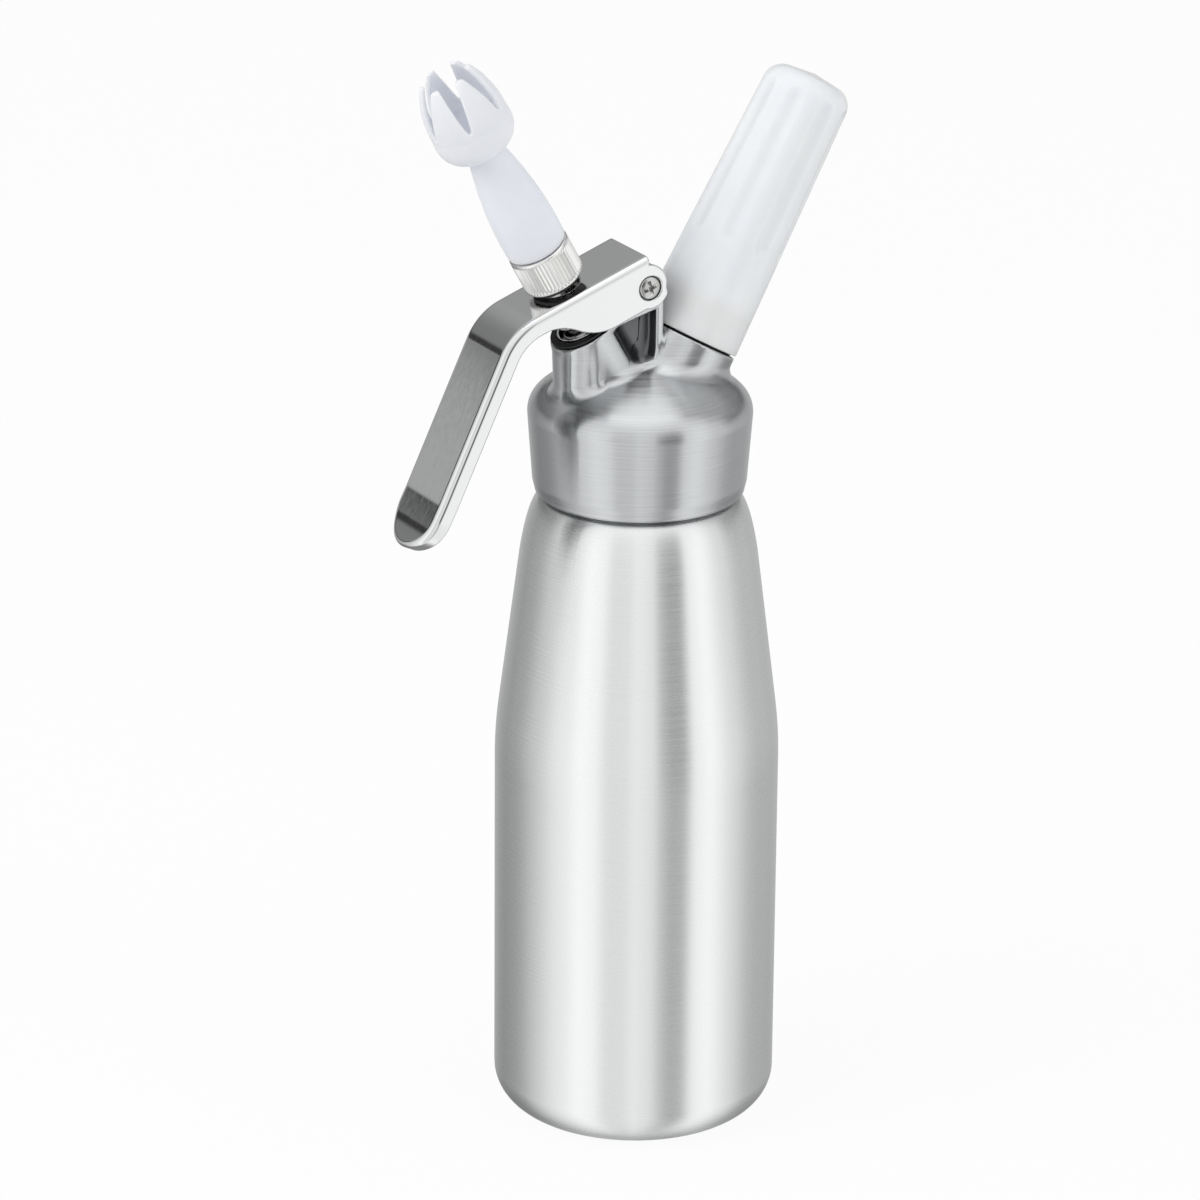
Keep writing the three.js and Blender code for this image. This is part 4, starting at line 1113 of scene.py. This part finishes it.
def lever_form(x, y, z):
    def channel(inset):
        end = handle_point(handle_length - lever_half, 0)
        aside = np.hypot(y, np.maximum(down_handle(x, z, end), 0))
        side, top = aside - lever_half + inset, channel_depth(x, z) + inset
        return meet(top, side, lever_corner - inset)

    strip = np.maximum(channel(0), -channel(lever_wall))
    strip = meet(strip, trim_form(x, z), cheek_edge)
    rise, _, beside = around_axis(-nozzle_tilt, x, y, z)
    strip = cut(strip, bar(beside, rise, stem_cutout, 44), cheek_edge)
    return cut(strip, np.hypot(x - pivot_x, z - pivot_z) - ear_hole, 0.25)


lever = cast("lever_pressing", lever_form, (-74.7, -11.2, 168), (2.8, 11.2, 256.5), 0.4)
install(lever, "lever", lever_finish)

# %% [markdown]
# The decorating tip is moulded in one piece: a spigot that stands in the collar, a cone, a
# narrow neck, and a tulip of six petals. The slots between the petals are narrow at the
# foot and widen to the tips. Every edge is softly rounded, as the mould leaves it.
# %% Decorating tip
tip_along = 125.2
spigot_along = 63.6
petals = 6
petal_phase = -24 * degree
slot_foot = 112.4
slot_foot_half = 0.45
slot_top_half = 2.4
slot_slope = 0.98


def tip_sections():
    base, neck, belly = (8.45, 67.8), (5.1, 99.8), (11.1, 109.8)
    outer = [(0, spigot_along), (5.9, spigot_along), (5.9, 67.3), (8.2, 67.3), base,
             *bend(base, (9.3, 82), neck, 30), *bend(neck, (12.4, 102), belly, 30),
             *bend(belly, (11.4, 117), (7.4, tip_along), 30), (5.2, 131), (0, 131)]
    low, wide = (3, 101.2), (9.7, 109.8)
    inner = [(0, 60), (3, 60), low, *bend(low, (11, 103.4), wide, 30),
             *bend(wide, (9.9, 117), (5.7, tip_along), 30), (3.5, 131), (0, 131)]
    box = (0, 18, 60, 130)
    return turned(outer, box), turned(inner, box)


tip_outer, tip_inner = tip_sections()


def tip_form(x, y, z):
    radius = np.hypot(x, y)
    shell = cut(tip_outer(radius, z), tip_inner(radius, z), 0.3)
    rise = np.clip((z - slot_foot) / (tip_along - slot_foot), 0, 1.1)
    half = slot_foot_half + (slot_top_half - slot_foot_half) * rise ** 0.75
    for slot in range(petals // 2):
        turn = petal_phase + (slot + 0.5) * 2 * math.pi / petals
        aside = np.abs(y * math.cos(turn) - x * math.sin(turn))
        foot = np.hypot(aside, z - slot_foot) - slot_foot_half
        gap = np.where(z > slot_foot, (aside - half) * slot_slope, foot)
        shell = cut(shell, gap, 0.5)
    return meet(shell, z - tip_along, 0.5)


tip = cast("tip_moulding", tip_form, (-12, -12, 63), (12, 12, 126), 0.3, on_nozzle)
install(tip, "decorator_tip", tip_finish)

# %% [markdown]
# The charger holder is a glossy moulded sleeve, closed at its top. It narrows a little
# upward, and eight shallow flutes with round ends give the fingers a hold. A thin lip at its
# foot hides all but the edge of the black ring.
# %% Charger holder
holder_along = 31.6
holder_foot = 30.5
holder_top = 110
foot_radius = 14.5
narrowing = 1.9
crown_foot = 103.4
flutes = 8
flute_radius = 4
flute_depth = 0.85
flute_low = 61
flute_high = 101.8


def holder_sections():
    outer = [(0, holder_foot), (foot_radius, holder_foot), (foot_radius - narrowing, crown_foot),
             *arc(6.8, crown_foot, 5.8, 2, 80, 14), (0, holder_top)]
    inner = [(0, 28), (13.2, 28), (13.2, holder_along), (12.7, holder_along), (12.7, 41.8),
             (9.4, 41.8), (9.4, 94.5),
             *[(9.4 * math.cos(t), 94.5 + 8.4 * math.sin(t)) for t in np.linspace(0.1, 1.45, 12)],
             (0, 102.9)]
    box = (0, 22, 26, 114)
    return turned(outer, box), turned(inner, box)


holder_outer, holder_inner = holder_sections()


def holder_form(x, y, z):
    radius, turn = np.hypot(x, y), np.arctan2(y, x)
    shell = holder_outer(radius, z)
    step = 2 * math.pi / flutes
    nearest = (turn + step / 2) % step - step / 2
    aside, out = radius * np.sin(nearest), radius * np.cos(nearest)
    surface = foot_radius - (z - holder_along) * narrowing / (crown_foot - holder_along)
    axis = surface + flute_radius - flute_depth
    beyond = np.maximum(np.maximum(flute_low - z, z - flute_high), 0)
    flute = np.sqrt(aside ** 2 + (out - axis) ** 2 + beyond ** 2) - flute_radius
    shell = cut(shell, flute, 0.7)
    shell = meet(shell, holder_foot - z, 0.35)
    return cut(shell, holder_inner(radius, z), 0.3)


holder = cast("holder_moulding", holder_form, (-15, -15, 31), (15, 15, 111), 0.5, on_charger)
install(holder, "charger_holder", holder_finish)

# %% [markdown]
# The collar is nickel-plated brass. It is turned, and its wall is knurled with straight
# ridges, so that wet fingers can unscrew it. The knurl stops short of both ends, where a
# plain band with a rounded edge is left.
# %% Collar
knurl_ridges = 54
knurl_depth = 0.34
knurl_from_end = 0.7
knurl_fade = 0.6
collar_low, collar_high = 56, 66.9
collar_bore, collar_radius, collar_corner, collar_band = 6.2, 8.65, 0.6, 0.75


def collar_section():
    edge = collar_radius - collar_corner
    foot = (collar_radius, collar_low + collar_band)
    top = (collar_radius, collar_high - collar_band)
    return [(collar_bore, collar_low),
            *arc(edge, collar_low + collar_corner, collar_corner, -90, 0, 6),
            foot, *straight(foot, top, 18),
            *arc(edge, collar_high - collar_corner, collar_corner, 0, 90, 6),
            (collar_bore, collar_high)]


def knurled(radius, turn, height):
    if radius < collar_radius - 0.05:
        return radius
    ends = (min(height - collar_low, collar_high - height) - knurl_from_end) / knurl_fade
    ridge = 0.5 - 0.5 * math.cos(knurl_ridges * turn)
    return radius - knurl_depth * min(max(ends, 0), 1) * ridge ** 0.8


collar = lathe("knurled_collar", collar_section(), on_nozzle, 6 * knurl_ridges, 0, knurled)
install(collar, "tip_collar", knurl_finish)

# %% [markdown]
# The pieces of the valve are turned from steel, and sealed with black rubber: the stem and
# its foot, the seal under the seat, the ring in its groove, the plate that the spring
# pushes up, the chromed cup that holds the spring, and the threaded adapter on the stem. The
# adapter is coloured black as painted shade, for the dark gap right under the collar.
# %% Valve pieces
stem_radius = 3.9
stem_top = 61.7
ring_groove = 22
cup_foot = 27.3
cup_lip = rim_along + 0.3


def make_ring(node, inner, outer, low, high, place, material, edge=0.2, steps=64):
    section = [(inner, low), (outer, low), (outer, high), (inner, high)]
    install(lathe(node + "_piece", section, place, steps, edge), node, material)


stem_section = [
    (0, 10.6), (6.6, 10.6), (6.6, 13.1), (stem_radius, 13.1), (stem_radius, 20), (3, 20),
    (3, ring_groove), (stem_radius, ring_groove), (stem_radius, stem_top), (2.1, stem_top),
    (2.1, 16.2), (0, 16.2)]
cup_outline = [
    (6.1, cup_foot), (6.7, cup_foot), (6.7, cup_lip), (7, cup_lip), (7, cup_lip + 1.2),
    (6.1, cup_lip + 1.2)]
adapter_section = [
    (4.2, 54.8), (7.2, 54.8), (7.4, 55), (7.4, 55.7), (7.2, 55.9), (5.9, 55.9), (5.9, 57),
    *straight((5.9, 57), (5.9, 61.7), 24), (5.6, 62), (4.2, 62)]
install(lathe("stem_turning", stem_section, on_nozzle, 64, 0.15), "valve_stem", steel_finish)
make_ring("seat_seal", 4.2, 6.4, 13.4, 15.2, on_nozzle, rubber_finish)
make_ring("stem_ring", 3.3, 4.1, 20.15, 21.85, on_nozzle, rubber_finish, 0.35)
make_ring("spring_plate", 4.2, 7.2, 48.16, 50.15, on_nozzle, steel_finish, 0.4)
install(lathe("cup_pressing", cup_outline, on_nozzle, 96), "spring_cup", chrome_finish)
make_ring("cup_gasket", 7.3, 9.2, 38.4, 39.1, on_nozzle, rubber_finish, 0.25)
adapter = lathe("adapter_turning", adapter_section, on_nozzle, 64, 0, threaded(
    5.85, math.inf, 0.45, 1.25, 57, 61.8))
# The adapter's black is painted shade for the gap under the collar
install(adapter, "nozzle_adapter", painted_shade_black)
make_ring("tip_seal", 2.6, 5.9, 62.3, 63.3, on_nozzle, rubber_finish, 0.3)

# %% [markdown]
# The valve spring is music wire, wound in six and a half turns. The last turn at each end is
# wound closed, against the next one, so that the spring stands straight in its cup. It moves
# with the stem.
# %% Valve spring
wire_radius = 0.55
coil_radius = 5.2
coil_low = 28.4
coil_high = 46.75
coil_turns = 6.5
coil_steps = 234
coil_blend = 9
wire_sides = 12
closed_rise = 1.15


def coil_points():
    """Rings of points round the wire, all the way up the coil."""
    shares = np.linspace(0, 1, coil_steps + 1)
    rises = [coil_low, coil_low + closed_rise, coil_high - closed_rise, coil_high]
    heights = np.interp(shares * coil_turns, [0, 1, coil_turns - 1, coil_turns], rises)
    window = np.ones(2 * coil_blend + 1) / (2 * coil_blend + 1)
    heights = np.convolve(np.pad(heights, coil_blend, "edge"), window, "valid")
    lean = (coil_high - coil_low) / (coil_turns * 2 * math.pi * coil_radius)
    points = []
    for turn, height in zip(shares * coil_turns * 2 * math.pi, heights):
        out = np.array([math.cos(turn), math.sin(turn), 0])
        forward = np.array([-math.sin(turn), math.cos(turn), lean])
        up = np.cross(out, forward / np.linalg.norm(forward))
        middle = out * coil_radius + np.array([0, 0, height])
        for angle in np.arange(wire_sides) * 2 * math.pi / wire_sides:
            points.append(middle + wire_radius * (math.cos(angle) * out + math.sin(angle) * up))
    return points


def make_spring():
    count = coil_steps * wire_sides
    steps = [(at, at + 1 if (at + 1) % wire_sides else at + 1 - wire_sides) for at in range(count)]
    faces = [[at, after, after + wire_sides, at + wire_sides] for at, after in steps]
    faces += [list(range(wire_sides))[::-1], list(range(count, count + wire_sides))]
    piece = solid("spring_coil", coil_points(), [], faces)
    only(piece)
    bpy.ops.object.mode_set(mode="EDIT")
    bpy.ops.mesh.select_all(action="SELECT")
    bpy.ops.mesh.normals_make_consistent(inside=False)
    bpy.ops.object.mode_set(mode="OBJECT")
    piece.data.transform(on_nozzle)
    smooth(piece, 50)
    install(piece, "valve_spring", steel_finish)
    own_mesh(piece)


make_spring()

# %% [markdown]
# The pivot is a hollow sleeve through the bracket, with a cross-head screw in each end.
# A clear washer on each side keeps the lever off the casting. The screws' heads are low
# domes that stand in the lever's holes, level with its cheeks.
# %% Pivot
screw_head, screw_shank, screw_pitch = 3.1, 1.6, 0.8
cross_reach, cross_half, cross_turn = 2.3, 0.6, 0.3
screw_foot, screw_rim, screw_top = lever_half - 1.3, lever_half - 0.45, lever_half + 0.1


def across_pivot(side):
    """The place of a piece that is drawn upright and lies along the pivot."""
    return Matrix.Translation((pivot_x * MM, 0, pivot_z * MM)) @ Matrix.Rotation(
        side * math.pi / 2, 4, "X")


def cross_bit(name, reach, half, foot, top):
    """The tip of a cross-head driver: a cross that narrows toward its foot."""
    corners = [(reach, half), (half, half), (half, reach)]
    corners += [(-y, x) for x, y in corners]
    corners += [(-x, -y) for x, y in corners]
    low = [(0.55 * x, 0.55 * y, foot) for x, y in corners]
    high = [(x, y, top) for x, y in corners]
    faces = [tuple(range(12))[::-1], tuple(range(12, 24))]
    faces += [(i, (i + 1) % 12, (i + 1) % 12 + 12, i + 12) for i in range(12)]
    return solid(name, low + high, [], faces)


def screw_section():
    shank = (screw_shank, 4.2)
    return [(0, 3.8), (1.3, 3.8), shank, *straight(shank, (screw_shank, screw_foot), 28),
            (screw_head, screw_foot), (screw_head, screw_rim),
            *round_end(screw_head, screw_rim, screw_top - screw_rim)]


def make_screw(node, side):
    thread = threaded(screw_shank - 0.05, screw_shank + 0.05, 0.25, screw_pitch, 4, screw_foot, 4.2)
    screw = lathe(node + "_turning", screw_section(), upright, 64, 0, thread)
    bit = cross_bit(node + "_bit", cross_reach, cross_half, screw_foot + 0.1, screw_top + 0.2)
    bit.data.transform(Matrix.Rotation(cross_turn, 4, "Z"))
    apply(screw, "BOOLEAN", object=bit, operation="DIFFERENCE", solver="MANIFOLD")
    bpy.data.objects.remove(bit)
    screw.data.transform(across_pivot(side))
    smooth(screw, 25)
    install(screw, node, screw_finish)


make_screw("pivot_screw_front", 1)
make_screw("pivot_screw_rear", -1)
make_ring("pivot_sleeve", 1.9, 3, -9.5, 9.5, across_pivot(1), steel_finish)
make_ring("pivot_washer_front", 3.3, 5.2, 8.8, 9.3, across_pivot(1), silicone_finish, 0.1)
make_ring("pivot_washer_rear", 3.3, 5.2, 8.8, 9.3, across_pivot(-1), silicone_finish, 0.1)

# %% [markdown]
# In the charger port stand a one-way valve of rubber, a washer, the hollow brass pin that
# pierces the charger, and the charger's seal. The charger is drawn steel with a long neck,
# and its mouth is closed by a thin cap. The holder's threaded insert and the flat black
# ring under the holder complete this side.
# %% Charger side
charger_radius = 9
charger_wall = 1.8
charger_mouth, neck_top, body_foot, body_top = 37, 45.5, 54.5, 94.5


def charger_side(inset, neck):
    body = charger_radius - inset
    return [(neck, charger_mouth), (neck, neck_top),
            *bend((neck, neck_top), (body, neck_top), (body, body_foot), 16),
            (body, body_top), *round_end(body, body_top, 8 - inset)]


charger_outer, charger_inner = charger_side(0, 4.3), charger_side(charger_wall, 2.8)
pin_section = [(0.45, 29.6), (5.7, 29.6), (5.7, 34.2), (1.1, 34.2), (1.1, 38), (0.6, 39.6),
               (0.45, 39.6)]
insert_section = [(12.4, 32), (12.4, 41.5), (11.1, 41.5),
                  *straight((10.8, 32.5), (10.8, 41), 40)[::-1], (11.1, 32)]
make_ring("return_valve", 0.7, 2.9, 21.8, 26.2, on_charger, rubber_finish)
make_ring("pin_washer", 2.4, 5.7, 27.8, 29.3, on_charger, rubber_finish)
install(lathe("pin_turning", pin_section, on_charger, 48, 0.06), "piercing_pin", brass_finish)
make_ring("charger_seal", 1.4, 5.7, 34.5, 36.7, on_charger, rubber_finish)
charger = lathe("charger_drawing", charger_outer[::-1] + charger_inner, on_charger, 96, 0)
install(charger, "gas_charger", charger_finish)
make_ring("charger_cap", 1.4, 2.5, 37.4, 38.4, on_charger, charger_finish)
insert = lathe("insert_turning", insert_section, on_charger, 96, 0, threaded(
    0, 10.9, -0.6, stud_pitch, 32.2, 41.3))
install(insert, "holder_insert", insert_finish)
make_ring("holder_ring", 10.8, 13.0, 30.12, 31.3, on_charger, rubber_finish, 0.25, 128)
make_ring("head_gasket", 21.6, 25, 204.3, 206.5, upright, silicone_finish, 0.5, 128)
